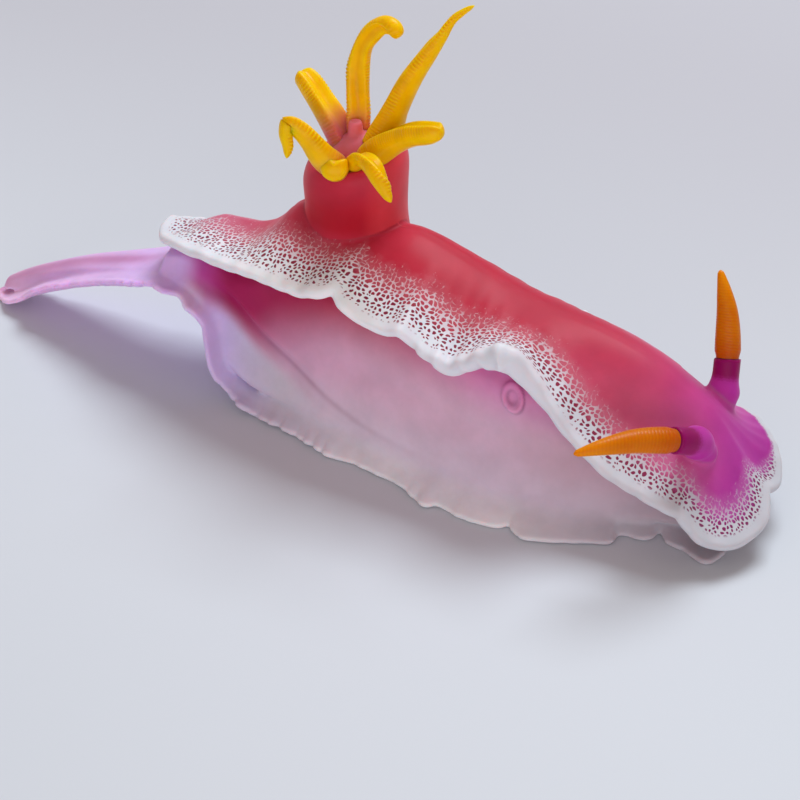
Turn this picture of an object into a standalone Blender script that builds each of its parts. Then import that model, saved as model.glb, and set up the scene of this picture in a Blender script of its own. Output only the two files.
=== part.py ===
# Hypselodoris variobranchia, a chromodorid sea slug, crawling.
# Sizes are in millimetres until a mesh is made. Head toward +X, the animal's left +Y, up +Z.
# The origin is the middle of the sole on the floor.
import bpy
import bmesh
import numpy as np

# Scale and clearances
MM = 0.001
GAP = 0.3

# Height of the back along the body: x, z
RIDGE = ((-19.5, 8.8), (-17.0, 9.7), (-14.5, 10.5), (-12.5, 10.45), (-11.3, 10.8), (-10.2, 11.6),
         (-9.2, 12.7), (-8.4, 13.1), (-6.5, 12.9), (-4.5, 12.85), (-1.0, 12.95), (2.0, 12.3), (5.0, 11.3),
         (8.2, 10.55), (11.5, 10.15), (14.5, 9.5), (16.4, 8.75), (17.8, 7.85), (19.2, 7.1),
         (20.6, 6.5), (22.2, 5.8), (24.5, 3.9))

# Sideways position of the line along the middle of the back: x, y
SPINE = ((-19.5, 0.4), (-14.0, 0.8), (-9.0, 1.15), (-3.0, 1.2), (3.0, 0.8), (9.0, 0.3), (14.0, 0.0),
         (24.5, -0.6))

# Edge of the mantle round the animal, from the rear tip along the right side to the front
MANTLE_RIGHT = ((-18.4, 0.6, 9.6), (-17.8, -1.5, 9.7), (-15.9, -2.8, 10.2), (-13.8, -3.5, 10.4),
                (-10.2, -4.5, 10.8), (-7.0, -5.0, 10.7), (-4.4, -5.5, 11.2), (-3.1, -5.1, 11.6),
                (-2.4, -5.7, 11.0), (0.0, -6.0, 10.4), (2.3, -6.1, 10.4), (3.6, -6.3, 9.6),
                (4.9, -6.4, 9.3), (6.6, -6.5, 10.1), (8.6, -6.2, 10.7), (9.9, -6.0, 10.0),
                (11.4, -6.0, 8.3), (13.2, -6.2, 6.5), (15.2, -6.5, 5.2), (17.3, -6.7, 4.5),
                (19.2, -6.8, 4.1), (20.2, -6.8, 3.8), (20.9, -6.7, 3.1), (21.6, -6.5, 2.3),
                (22.6, -6.0, 2.0), (23.5, -4.8, 2.0), (24.0, -3.0, 2.4))

# and back along the left side to the rear tip
MANTLE_LEFT = ((23.5, -1.2, 3.0), (23.7, 0.2, 2.8), (23.3, 1.4, 3.2), (22.4, 2.9, 3.7),
               (20.9, 4.3, 3.8), (19.0, 5.3, 3.8), (17.0, 5.8, 4.0), (14.4, 5.9, 4.6),
               (11.6, 6.1, 5.8), (9.0, 6.3, 6.5), (6.4, 6.5, 6.7), (3.6, 6.6, 7.0),
               (0.6, 6.6, 7.2), (-2.6, 6.5, 7.5), (-6.0, 6.3, 7.6), (-9.4, 5.8, 7.6),
               (-12.6, 4.9, 7.8), (-15.4, 3.9, 8.2), (-17.5, 2.4, 8.8))

# Thickness of the mantle at its rim and over the middle
RIM_THICK = 0.65
BACK_THICK = 2.3

# Rim of the right side curled up over the genital pore: x, rise
CURL = ((3.6, 0.0), (5.2, 0.35), (6.4, 0.3), (7.6, 0.75), (8.6, 0.95), (9.6, 0.8), (11.8, 0.0))
CURL_Y = -3.0
CURL_BULGE = 0.2
BACK_SWELL = ((-18.5, 0.1), (-15.0, 0.6), (-11.0, 1.0), (10.0, 1.0), (15.0, 0.7), (19.0, 0.25),
              (22.0, 0.1))

# Underside of the foot along the body: x, z
SOLE = ((-33.2, 0.0), (-32.2, 0.0), (-30.6, 0.5), (-28.0, 1.7), (-25.0, 3.1), (-22.0, 4.3),
        (-19.5, 5.2), (-17.2, 5.95), (-15.6, 6.0), (-14.4, 5.5), (-13.75, 4.6), (-13.3, 3.5),
        (-12.9, 2.3), (-12.4, 1.4), (-11.7, 0.8), (-10.8, 0.35), (-9.8, 0.08), (-9.0, 0.0),
        (-8.0, 0.0), (26.0, 0.0))

# How far the right edge of the foot turns up along the tail: x, rise
TURN_UP = ((-32.5, 0.0), (-31.0, 0.0), (-27.5, 0.9), (-21.0, 0.9), (-17.0, 0.6), (-14.0, 0.3),
           (-12.0, 0.0), (26.0, 0.0))

# Edge of the foot seen from above: tail tip, right side, front
FOOT_RIGHT = ((-32.9, 0.0), (-31.6, -1.3), (-28.8, -2.1), (-25.0, -2.6), (-21.0, -3.0),
              (-17.5, -3.6), (-14.6, -4.1), (-13.1, -4.4), (-12.4, -4.55), (-10.7, -4.8),
              (-8.6, -5.2), (-6.0, -5.8), (-2.8, -6.9), (-1.2, -6.75), (0.6, -7.0), (2.6, -7.4),
              (3.5, -7.95), (4.6, -8.5), (5.3, -8.1), (6.9, -8.55), (9.3, -8.45), (9.9, -8.0),
              (11.1, -8.65), (12.6, -8.25), (14.9, -7.2), (15.85, -6.75), (16.2, -5.75),
              (17.7, -5.45), (18.25, -4.6), (19.1, -5.2), (20.6, -5.6), (21.6, -6.0),
              (22.1, -4.9), (22.5, -2.2))
FOOT_LEFT = ((22.3, 0.0), (22.4, 2.4), (21.6, 4.6), (20.0, 5.3), (18.0, 5.4), (15.4, 6.6),
             (12.0, 7.5), (8.0, 7.8), (3.0, 7.6), (-2.0, 6.9), (-7.0, 5.8), (-10.7, 4.9),
             (-13.1, 4.4), (-14.6, 4.1), (-17.5, 3.5), (-21.0, 2.9), (-25.0, 2.4), (-28.8, 1.9),
             (-31.6, 1.1))
FOOT_RIM = 0.55
FOOT_THICK = 1.9
FOOT_SWELL = ((-33.0, 0.0), (-30.0, 0.2), (-25.0, 0.35), (-18.0, 0.4), (-15.0, 0.25),
              (-11.0, 0.25), (-8.0, 0.8), (0.0, 1.0), (15.0, 1.0), (20.0, 0.2))
SCALLOPS = 54
SCALLOP_OUT = 0.28
SCALLOP_UP = 0.34

# Trunk between foot and mantle: x, half width
TRUNK = ((-32.4, 0.4), (-30.6, 0.7), (-27.0, 1.1), (-23.0, 1.5), (-19.0, 2.1), (-15.0, 2.7),
         (-12.0, 3.3), (-8.0, 4.0), (-4.0, 4.7), (0.0, 5.3), (4.0, 5.7), (8.0, 5.9),
         (12.0, 5.6), (15.0, 5.0), (18.0, 4.3), (20.0, 3.6), (21.2, 2.8), (21.9, 1.6))

# Cross section of the trunk: share of the height, share of the half width
SECTION = ((0.0, 0.0), (0.03, 1.02), (0.1, 1.1), (0.22, 1.03), (0.4, 0.96), (0.6, 0.91),
           (0.76, 0.86), (0.88, 0.66), (0.96, 0.38), (1.0, 0.0))
SECTION_STEPS = (0.0, 0.03, 0.12, 0.24, 0.4, 0.58, 0.74, 0.86, 0.95, 1.0)

# Groove between flank and foot: x, height, depth; it meets this row of the section
GROOVE = ((-16.0, 7.4, 0.0), (-13.6, 6.9, 0.3), (-12.2, 6.2, 0.4), (-10.2, 5.0, 0.4),
          (-7.3, 3.9, 0.4), (-4.0, 2.7, 0.3), (0.0, 1.9, 0.15), (4.0, 1.6, 0.0))
GROOVE_ROW = 0.24
GROOVE_WIDTH = 0.6
TAIL_TOP = ((-33.0, 0.8), (-32.0, 1.5), (-30.5, 2.4), (-28.0, 3.6), (-25.0, 4.8), (-22.0, 5.7),
            (-20.0, 6.3), (-18.0, 7.3))
HEAD_TOP = ((16.0, 7.3), (19.0, 5.6), (21.0, 4.2), (22.2, 2.9))

# Middle line from which the rings of mantle and foot spread: its start, its run and its limits in x
MANTLE_MIDDLE = (-17.5, 40.0, -14.6, 19.0)
FOOT_MIDDLE = (-32.6, 53.6, -31.0, 19.0)

# Shape of the mantle's fall from the ridge to the edge: share of a round and of a sloping fall
FALL = (0.55, 0.45)

# Places where the body is divided
MANTLE_CUTS = (-9.8, 9.2)
FLANK_CUTS = (-14.2, -4.0, 6.0, 18.4)
FOOT_CUTS = (-14.2, -2.0, 10.0)
TAIL_CUTS = (-26.0, -19.6)

# Gill sheath: foot of its axis, lean of the axis, profile as radius and height
SHEATH_FOOT = (-5.3, 1.7, 12.2)
SHEATH_LEAN = (0.0, 0.0, 1.0)
SHEATH_SLANT = (0.2, 0.1)
SHEATH_PROFILE = ((3.5, -1.4), (3.26, 0.2), (3.2, 1.2), (3.24, 2.4), (3.28, 3.4), (3.22, 4.0),
                  (3.04, 4.5), (2.78, 4.8), (2.5, 4.75), (2.25, 4.55), (1.95, 4.75), (1.65, 5.1),
                  (1.3, 5.5), (0.95, 5.8), (0.5, 6.0))

# Gills: path of each with its width; they face the middle of the crown
GILLS = (
    ("gill_near", ((-5.95, 0.4, 16.1, 1.2), (-5.55, -0.45, 16.7, 1.5), (-5.15, -1.25, 17.3, 1.66),
                   (-4.8, -2.05, 17.85, 1.66))),
    ("gill_1", ((-6.1, 0.9, 16.3, 1.5), (-5.95, -0.3, 17.0, 1.75), (-5.85, -1.2, 17.8, 1.75),
                (-6.0, -1.6, 18.4, 1.65), (-6.45, -1.85, 19.2, 1.42), (-7.0, -2.05, 19.85, 1.28),
                (-7.55, -2.3, 20.2, 1.12), (-7.66, -2.58, 19.65, 0.92), (-7.53, -2.68, 18.9, 0.68),
                (-7.56, -2.8, 18.1, 0.28))),
    ("gill_2", ((-6.0, 1.8, 17.0, 1.7), (-7.15, 2.2, 18.5, 1.75), (-8.25, 2.65, 19.42, 1.6),
                (-9.2, 3.0, 20.2, 1.5), (-10.0, 3.3, 20.6, 1.2))),
    ("gill_3", ((-5.6, 2.5, 16.9, 1.5), (-5.6, 2.7, 18.9, 1.44), (-5.8, 3.0, 20.3, 1.43),
                (-5.9, 3.3, 21.7, 1.39), (-5.6, 3.4, 23.2, 1.16), (-4.9, 3.4, 24.3, 1.13),
                (-4.1, 3.2, 25.0, 1.07), (-3.35, 3.0, 25.0, 1.06), (-3.0, 2.8, 24.5, 1.0))),
    ("gill_4", ((-4.5, 2.1, 16.8, 2.0), (-3.5, 2.1, 18.8, 2.2), (-2.9, 2.2, 20.3, 1.8),
                (-2.3, 2.4, 21.7, 1.6), (-1.65, 2.6, 22.9, 1.36), (-1.0, 2.9, 24.0, 1.16),
                (-0.35, 3.1, 25.0, 0.84), (0.2, 3.4, 26.0, 0.58), (0.8, 3.6, 26.6, 0.42),
                (1.5, 3.8, 27.1, 0.2))),
    ("gill_5", ((-4.3, 1.2, 16.8, 1.8), (-3.0, 0.7, 18.3, 1.95), (-1.7, 0.3, 19.4, 1.72),
                (-0.4, -0.3, 20.3, 1.58), (0.9, -0.8, 20.9, 1.42), (1.8, -1.1, 21.4, 0.98))),
    ("gill_6", ((-4.7, 0.5, 16.6, 1.1), (-4.2, -0.4, 17.5, 1.1), (-3.3, -1.3, 18.4, 1.02),
                (-2.2, -2.2, 18.7, 1.16), (-1.3, -2.8, 18.2, 1.05), (-0.7, -3.1, 17.6, 0.7),
                (-0.3, -3.3, 17.2, 0.36))),
)
CROWN_MIDDLE = (-5.3, 1.7, 24.0)
GILL_SECTION = ((0.0, -1.0), (0.72, -0.72), (1.0, 0.0), (0.74, 0.72), (0.0, 0.5), (-0.74, 0.72),
                (-1.0, 0.0), (-0.72, -0.72))
PINNULE_STEP = 0.7
PINNULE_REACH = 0.16
GILL_END = 0.6

# Rhinophores: radius of the club, path from inside the head to the tip
RHINOPHORES = (
    ("right", 0.76, ((19.9, -2.6, 5.2), (19.65, -3.6, 6.6), (19.4, -4.6, 7.3), (18.6, -5.9, 7.95),
                     (17.2, -7.4, 8.4), (15.8, -9.0, 8.55), (14.6, -10.1, 8.4))),
    ("left", 0.77, ((19.35, 1.5, 5.2), (19.25, 2.0, 6.7), (19.15, 2.5, 7.8), (18.95, 3.05, 8.9),
                    (18.5, 3.8, 10.7), (18.0, 4.3, 12.0), (17.45, 4.8, 13.1))),
)
STALK_SHARE = 0.42
STALK_RADIUS = 0.8
COLLAR_AT = 0.42
COLLAR_SWELL = 0.2
COLLAR_WIDTH = 0.16
CLUB_TAPER = 0.8
CLUB_POWER = 2.2
LAMELLAE = 12
LAMELLA_DEPTH = 0.07

# Mouth and oral tentacles under the front of the mantle
MOUTH = (21.8, -0.1, 1.75)
LIP_HALF = (1.15, 0.62)
LIP_PROFILE = ((0.9, -0.9), (1.05, 0.0), (0.95, 0.3), (0.6, 0.42))
SLIT_HALF = (0.75, 0.14)
SLIT_PROFILE = ((0.4, -0.35), (0.9, 0.0), (1.1, 0.9))
TENTACLES = (("right", ((20.6, -1.7, 1.9), (21.9, -2.2, 1.75), (22.9, -2.7, 1.6))),
             ("left", ((20.6, 1.5, 1.9), (21.9, 2.0, 1.75), (22.9, 2.5, 1.6))))
TENTACLE_RADIUS = 0.42

# Papilla with the vent: its place on the dome, profile as radius and height
PAPILLA = (-5.3, 1.7, 18.4)
PAPILLA_PROFILE = ((0.5, -0.6), (0.44, 0.2), (0.42, 0.45), (0.36, 0.62), (0.26, 0.68), (0.13, 0.5))

# Genital pore on the right flank: profile as radius and height
PORE = (8.6, -4.8, 7.05)
PORE_SIZE = (0.68, 0.5, 0.95)
PORE_TILT = 28.0
PORE_LEAN = -28.0
PORE_PROFILE = ((0.55, -0.5), (1.0, -0.3), (1.06, 0.1), (0.85, 0.35), (0.55, 0.25), (0.3, 0.0))


def steps(table, x):
    """Smooth values read from a station table at x, without overshoot."""
    rows = np.array(table, dtype=float)
    xs, ys = rows[:, 0], rows[:, 1:]
    x = np.clip(np.asarray(x, dtype=float), xs[0], xs[-1])
    h = np.diff(xs)
    slope = np.diff(ys, axis=0) / h[:, None]
    tang = np.zeros_like(ys)
    same = slope[:-1] * slope[1:] > 0
    mean = 2.0 * slope[:-1] * slope[1:] / np.where(same, slope[:-1] + slope[1:], 1.0)
    tang[1:-1] = np.where(same, mean, 0.0)
    tang[0], tang[-1] = slope[0], slope[-1]
    i = np.clip(np.searchsorted(xs, x) - 1, 0, len(h) - 1)
    t = ((x - xs[i]) / h[i])[..., None]
    k = h[i][..., None]
    a = (1 + 2 * t) * (1 - t) ** 2 * ys[i] + t * t * (3 - 2 * t) * ys[i + 1]
    b = t * (1 - t) ** 2 * k * tang[i] + t * t * (t - 1) * k * tang[i + 1]
    out = a + b
    return out[..., 0] if ys.shape[1] == 1 else out


def bend(points, count, closed=False):
    """Points along a smooth curve through the given ones, evenly spaced."""
    p = np.array(points, dtype=float)
    if closed:
        p = np.vstack((p[-1:], p, p[:2]))
    else:
        p = np.vstack((2 * p[0] - p[1], p, 2 * p[-1] - p[-2]))
    t = np.linspace(0.0, 1.0, 16, endpoint=False)[:, None]
    fine = []
    for a, b, c, d in zip(p[:-3], p[1:-2], p[2:-1], p[3:]):
        cubic = (-a + 3 * b - 3 * c + d) * t + (2 * a - 5 * b + 4 * c - d)
        fine.append(0.5 * ((cubic * t + (c - a)) * t + 2 * b))
    fine.append(p[-2:-1])
    fine = np.vstack(fine)
    run = np.concatenate(([0.0], np.cumsum(np.linalg.norm(np.diff(fine, axis=0), axis=1))))
    want = np.linspace(0.0, run[-1], count + 1)
    return np.stack([np.interp(want, run, fine[:, k]) for k in range(fine.shape[1])], axis=1)


def edge_loop(right, left, half):
    """Edge from the rear tip up the right side and back down the left, half steps to a side."""
    start, front = right[0], left[0]
    whole = bend(tuple(right) + tuple(left), 1600, closed=True)
    near = int(np.argmin(np.linalg.norm(whole[:-1] - np.array(front), axis=1)))
    one = resample(whole[:near + 1], half)
    two = resample(whole[near:], half)
    return np.vstack((one[:-1], two[:-1]))


def resample(points, count):
    """The same curve with count even steps."""
    run = np.concatenate(([0.0], np.cumsum(np.linalg.norm(np.diff(points, axis=0), axis=1))))
    want = np.linspace(0.0, run[-1], count + 1)
    return np.stack([np.interp(want, run, points[:, k]) for k in range(points.shape[1])], axis=1)


def unit(v):
    """Vectors of length one."""
    return v / np.maximum(np.linalg.norm(v, axis=-1, keepdims=True), 1e-9)


def leaf_normals(grid):
    """Normals of a surface given as rings, inner ring first, pointing up."""
    along = np.roll(grid, -1, axis=1) - np.roll(grid, 1, axis=1)
    across = np.gradient(grid, axis=0)
    n = unit(np.cross(along, across))
    return np.where(np.mean(n[..., 2]) > 0, n, -n)


def calmed(edge):
    """The edge loop with its lobes smoothed away, for the rings inside it."""
    count = len(edge)
    away = np.abs((np.arange(count) + count // 2) % count - count // 2)
    weight = np.exp(-(away / (0.03 * count)) ** 2)
    weight = np.fft.rfft(weight / weight.sum())
    return np.fft.irfft(np.fft.rfft(edge, axis=0) * weight[:, None], count, axis=0)


def inward(edge, middle, r):
    """Rings between a middle line and an edge, the lobes growing toward the edge."""
    lobes = r[..., None] ** 3
    border = calmed(edge) * (1 - lobes) + edge * lobes
    return middle * (1 - r[..., None]) + border[..., :2] * r[..., None]


def middle_line(edge, where):
    """Place along x of the middle line for each point of an edge."""
    start, run, first, last = where
    low, high = edge[:, 0].min(), edge[:, 0].max()
    return np.clip(start + (edge[:, 0] - low) / (high - low) * run, first, last)


def mantle_rings(half, shares, grow=0.0):
    """Rings of the mantle: top from the middle out, the rim, then the underside back in."""
    edge = edge_loop(MANTLE_RIGHT, MANTLE_LEFT, half)
    mid_x = middle_line(edge, MANTLE_MIDDLE)
    middle = np.stack((mid_x, steps(SPINE, mid_x)), axis=1)
    r = np.array(shares)[:, None]
    x, y = np.moveaxis(inward(edge, middle, r), 2, 0)
    drop = FALL[0] * (1 - np.cos(r * np.pi / 2)) + FALL[1] * np.sin(r * np.pi / 2) ** 2
    curl = steps(CURL, x) * (y < CURL_Y) * np.clip((r - 0.6) / 0.4, 0, 1) ** 2
    z = steps(RIDGE, x) * (1 - drop) + edge[:, 2] * drop + curl
    top = np.stack((x, y, z), axis=2)
    n = leaf_normals(top)
    upright = np.clip((r - 0.15) / 0.6, 0, 1)[..., None]
    n = unit(n * upright + np.array((0.0, 0.0, 1.0)) * (1 - upright))
    thick = RIM_THICK + (BACK_THICK - RIM_THICK) * (1 - r ** 3) * steps(BACK_SWELL, x) + curl
    out = unit(np.cross(n[-1], unit(np.roll(top[-1], -1, axis=0) - np.roll(top[-1], 1, axis=0))))
    away = np.sign(np.sum(out[:, :2] * (edge[:, :2] - middle), axis=1))[:, None]
    out = out * np.where(away == 0, 1.0, away)
    under = top - n * (thick + grow)[..., None]
    top = top + n * grow
    bulge = out * (RIM_THICK * 0.38 + CURL_BULGE * curl[-1] + grow)[:, None]
    rim_top = top[-1] * 0.8 + under[-1] * 0.2 + bulge
    rim_low = top[-1] * 0.25 + under[-1] * 0.75 + bulge
    return list(top) + [rim_top, rim_low] + list(under[::-1])


def scallop(half):
    """Small waves of the foot's edge: outward and upward, by place along the edge."""
    turn = np.arange(2 * half) / (2 * half) * 2 * np.pi
    wave = 2 * np.abs(np.sin(turn * SCALLOPS / 2 + 1.6 * np.sin(turn * 5) + 0.8 * np.sin(turn * 13 + 1))) - 1
    wave = wave * (0.65 + 0.35 * np.sin(turn * 7 + 1))
    slow = np.sin(turn * 11 + 0.6)
    return SCALLOP_OUT * (wave + 0.6 * slow), SCALLOP_UP * (0.5 + 0.5 * wave) * (0.6 + 0.4 * slow)


def foot_rings(half, shares, grow=0.0):
    """Rings of the foot: sole from the middle out, the rim, then the upper face back in."""
    edge = edge_loop(FOOT_RIGHT, FOOT_LEFT, half)
    mid_x = middle_line(edge, FOOT_MIDDLE)
    middle = np.stack((mid_x, np.zeros_like(mid_x)), axis=1)
    out_by, up_by = scallop(half)
    run = unit(np.roll(edge, -1, axis=0) - np.roll(edge, 1, axis=0))
    side = np.stack((run[:, 1], -run[:, 0]), axis=1)
    side = side * np.sign(np.sum(side * (edge - middle), axis=1))[:, None]
    calm = np.clip(np.abs(edge[:, 1]) / 2.5, 0, 1)
    calm = calm * (1 - 0.7 * np.clip((edge[:, 0] + 3) / 4, 0, 1) * (edge[:, 1] < 0))
    edge = edge + side * (out_by * calm)[:, None]
    r = np.array(shares)[:, None]
    x, y = np.moveaxis(inward(edge, middle, r), 2, 0)
    lift = up_by * calm * np.clip((r - 0.8) / 0.2, 0, 1) ** 2
    sole = np.stack((x, y, steps(SOLE, x) + lift + steps(TURN_UP, x) * r ** 2 * (y < 0)), axis=2)
    n = leaf_normals(sole)
    thick = FOOT_RIM + (FOOT_THICK - FOOT_RIM) * (1 - r ** 2.5)
    thick = FOOT_RIM + (thick - FOOT_RIM) * steps(FOOT_SWELL, x)
    upper = sole + n * (thick + grow)[..., None]
    sole = sole - n * grow
    out = np.concatenate((side, np.zeros((2 * half, 1))), axis=1)
    rim_low = sole[-1] * 0.75 + upper[-1] * 0.25 + out * (FOOT_RIM * 0.35 + grow)
    rim_top = sole[-1] * 0.2 + upper[-1] * 0.8 + out * (FOOT_RIM * 0.35 + grow)
    return list(sole) + [rim_low, rim_top] + list(upper[::-1])


def trunk_rings(xs, shares):
    """Cross sections of the trunk, one for each x."""
    rings = []
    for x in xs:
        low = float(steps(SOLE, x)) + 0.7
        back = float(steps(RIDGE, x)) - 1.2
        if x < TAIL_TOP[-1][0]:
            back = float(steps(TAIL_TOP, x))
        if x > HEAD_TOP[0][0]:
            back = float(steps(HEAD_TOP, x))
        level, depth = steps(GROOVE, x)
        row = np.clip((level - low) / (back - low), 0.12, 0.5)
        h = np.interp(shares, (0.0, GROOVE_ROW, 1.0), (0.0, row, 1.0))
        z = low + (back - low) * h
        inset = depth * np.exp(-((z - level) / GROOVE_WIDTH) ** 2)
        width = float(steps(TRUNK, x)) * steps(SECTION, h) - inset
        lean = float(steps(SPINE, x)) * h
        right = np.stack((np.full(len(h), x), lean - width, z), axis=1)
        left = np.stack((np.full(len(h), x), lean + width, z), axis=1)
        rings.append(np.vstack((right, left[-2:0:-1])))
    return rings


def frames(path):
    """Two directions across a path at each of its points, carried along without twist."""
    run = unit(np.gradient(path, axis=0))
    side = np.cross(run[0], (0.0, 0.0, 1.0))
    if np.linalg.norm(side) < 0.2:
        side = np.cross(run[0], (1.0, 0.0, 0.0))
    sides = []
    for r in run:
        side = unit(side - r * np.dot(side, r))
        sides.append(side)
    sides = np.array(sides)
    return run, sides, np.cross(run, sides)


def tube_rings(path, section, sizes, facing=None):
    """Rings of a sweep: section as pairs across the path, one size for each point."""
    run, a, b = frames(path)
    if facing is not None:
        b = np.array(facing) - path
        b = unit(b - run * np.sum(b * run, axis=1, keepdims=True))
        a = np.cross(b, run)
    sec = np.asarray(section)
    if sec.ndim == 2:
        sec = np.repeat(sec[None], len(path), axis=0)
    size = np.asarray(sizes)[:, None, None]
    return list(path[:, None] + size * (sec[..., :1] * a[:, None] + sec[..., 1:] * b[:, None]))


def circle(count):
    """Points of a unit circle."""
    t = np.arange(count) / count * 2 * np.pi
    return np.stack((np.cos(t), np.sin(t)), axis=1)


def surface(rings, ends):
    """Vertices and faces of rings joined in turn. Ends are closed by a ladder or by a point."""
    count = len(rings[0])
    verts = np.vstack(rings)
    faces = []
    for k in range(len(rings) - 1):
        for i in range(count):
            j = (i + 1) % count
            faces.append((k * count + i, k * count + j, (k + 1) * count + j, (k + 1) * count + i))
    for first in (0, (len(rings) - 1) * count):
        if ends == "ladder":
            half = count // 2
            faces.append((first, first + 1, first + count - 1))
            for i in range(1, half - 1):
                faces.append((first + i, first + i + 1, first + count - i - 1, first + count - i))
            faces.append((first + half - 1, first + half, first + half + 1))
        else:
            middle = verts[first:first + count].mean(axis=0)
            verts = np.vstack((verts, middle))
            last = len(verts) - 1
            for i in range(count):
                faces.append((first + i, first + (i + 1) % count, last))
    return verts, faces


def body(name, rings, ends="ladder"):
    """A closed mesh object of the given rings."""
    verts, faces = surface(rings, ends)
    mesh = bpy.data.meshes.new(name)
    mesh.from_pydata([tuple(v) for v in verts * MM], [], faces)
    bm = bmesh.new()
    bm.from_mesh(mesh)
    bmesh.ops.recalc_face_normals(bm, faces=bm.faces)
    bmesh.ops.triangulate(bm, faces=bm.faces)
    bm.to_mesh(mesh)
    bm.free()
    obj = bpy.data.objects.new(name, mesh)
    bpy.context.scene.collection.objects.link(obj)
    return obj


def turned(name, foot, lean, profile, around, grow=0.0, slant=(0.0, 0.0)):
    """A closed solid of revolution about a leaning axis, its upper end cut on the slant."""
    axis = unit(np.array(lean, dtype=float))
    a = unit(np.cross(axis, (0.0, 1.0, 0.0)))
    b = np.cross(axis, a)
    rings = []
    for radius, height in profile:
        ring = circle(around) * (radius + grow)
        ring = np.array(foot) + axis * height + ring[:, :1] * a + ring[:, 1:] * b
        off = ring[:, :2] - np.array(foot)[:2]
        ring[:, 2] += off @ np.array(slant) * np.clip(height / SHEATH_PROFILE[5][1], 0, 1)
        rings.append(ring)
    return body(name, rings, "point")


def combine(target, tool, how):
    """Apply one Boolean to the target; the tool object stays."""
    mod = target.modifiers.new("cut", "BOOLEAN")
    mod.operation = how
    mod.solver = "MANIFOLD"
    mod.object = tool
    graph = bpy.context.evaluated_depsgraph_get()
    mesh = bpy.data.meshes.new_from_object(target.evaluated_get(graph))
    target.modifiers.clear()
    old = target.data
    target.data = mesh
    bpy.data.meshes.remove(old)
    return target


def largest(obj):
    """Keep only the largest connected surface of a mesh."""
    bm = bmesh.new()
    bm.from_mesh(obj.data)
    bmesh.ops.triangulate(bm, faces=bm.faces)
    left, best = set(bm.faces), []
    while left:
        seed = left.pop()
        group, queue = [seed], [seed]
        while queue:
            for e in queue.pop().edges:
                for f in e.link_faces:
                    if f in left:
                        left.remove(f)
                        group.append(f)
                        queue.append(f)
        if sum(f.calc_area() for f in group) > sum(f.calc_area() for f in best):
            best = group
    keep = set(best)
    bmesh.ops.delete(bm, geom=[f for f in bm.faces if f not in keep], context="FACES")
    bmesh.ops.delete(bm, geom=[v for v in bm.verts if not v.link_faces], context="VERTS")
    bmesh.ops.dissolve_degenerate(bm, dist=1e-7, edges=bm.edges)
    bmesh.ops.triangulate(bm, faces=bm.faces)
    bm.to_mesh(obj.data)
    bm.free()
    return obj


def slab(low, high):
    """A box over the whole body between two x positions."""
    mesh = bpy.data.meshes.new("slab")
    bm = bmesh.new()
    bmesh.ops.create_cube(bm, size=1.0)
    size = np.array((high - low, 60.0, 80.0)) * MM
    bmesh.ops.scale(bm, vec=size, verts=bm.verts)
    bmesh.ops.translate(bm, vec=((low + high) / 2 * MM, 0.0, 0.0), verts=bm.verts)
    bm.to_mesh(mesh)
    bm.free()
    obj = bpy.data.objects.new("slab", mesh)
    bpy.context.scene.collection.objects.link(obj)
    return obj


def copy_of(obj, name):
    """A separate copy of an object."""
    twin = bpy.data.objects.new(name, obj.data.copy())
    bpy.context.scene.collection.objects.link(twin)
    return twin


def drop(obj):
    """Remove an object."""
    bpy.data.objects.remove(obj, do_unlink=True)


def length_of(obj, name, low, high):
    """The part of an object between two x positions, half a gap short at each cut."""
    piece = copy_of(obj, name)
    box = slab(low + GAP / 2, high - GAP / 2)
    combine(piece, box, "INTERSECT")
    drop(box)
    return largest(piece)


def finish(obj, color, rough, coll):
    """Give a node its material and smooth shading and move it to the collection."""
    mat = bpy.data.materials.new(obj.name)
    mat.use_nodes = True
    bsdf = mat.node_tree.nodes["Principled BSDF"]
    bsdf.inputs["Base Color"].default_value = (*color, 1.0)
    bsdf.inputs["Roughness"].default_value = rough
    obj.data.materials.clear()
    obj.data.materials.append(mat)
    for poly in obj.data.polygons:
        poly.use_smooth = True
    for old in list(obj.users_collection):
        old.objects.unlink(obj)
    coll.objects.link(obj)


for old in list(bpy.data.objects):
    bpy.data.objects.remove(old, do_unlink=True)
part = bpy.data.collections.new("hypselodoris_variobranchia")
bpy.context.scene.collection.children.link(part)
RED = (0.55, 0.07, 0.12)
PURPLE = (0.38, 0.07, 0.3)
PINK = (0.5, 0.3, 0.42)
PALE = (0.55, 0.45, 0.58)
LILAC = (0.5, 0.2, 0.52)
YELLOW = (0.75, 0.38, 0.01)
ORANGE = (0.6, 0.16, 0.005)
WET = 0.3

# Masters of mantle, foot and trunk
MANTLE_HALF = 46
MANTLE_SHARES = (0.16, 0.42, 0.64, 0.82, 0.94, 1.0)
FOOT_HALF = 76
FOOT_SHARES = (0.2, 0.6, 0.86, 1.0)
mantle = body("mantle", mantle_rings(MANTLE_HALF, MANTLE_SHARES))
mantle_big = body("mantle_big", mantle_rings(MANTLE_HALF, MANTLE_SHARES, GAP))
foot = body("foot", foot_rings(FOOT_HALF, FOOT_SHARES))
foot_big = body("foot_big", foot_rings(FOOT_HALF, FOOT_SHARES, GAP))
TRUNK_X = np.concatenate((np.linspace(-32.4, -15.5, 12), np.linspace(-14.8, -11.6, 7),
                          np.linspace(-9.5, 19.0, 13), (20.2, 21.0, 21.6, 21.9)))
trunk = body("trunk", trunk_rings(TRUNK_X, SECTION_STEPS))

# Tail: foot and trunk in one behind the hump, below the mantle
tail = copy_of(foot, "tail")
combine(tail, trunk, "UNION")
combine(tail, mantle_big, "DIFFERENCE")
tail_cuts = (-40.0,) + TAIL_CUTS + (FLANK_CUTS[0],)
for name, low, high in zip(("tail_tip", "tail_middle", "tail_root"), tail_cuts, tail_cuts[1:]):
    finish(length_of(tail, name, low, high), LILAC, WET, part)

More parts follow.
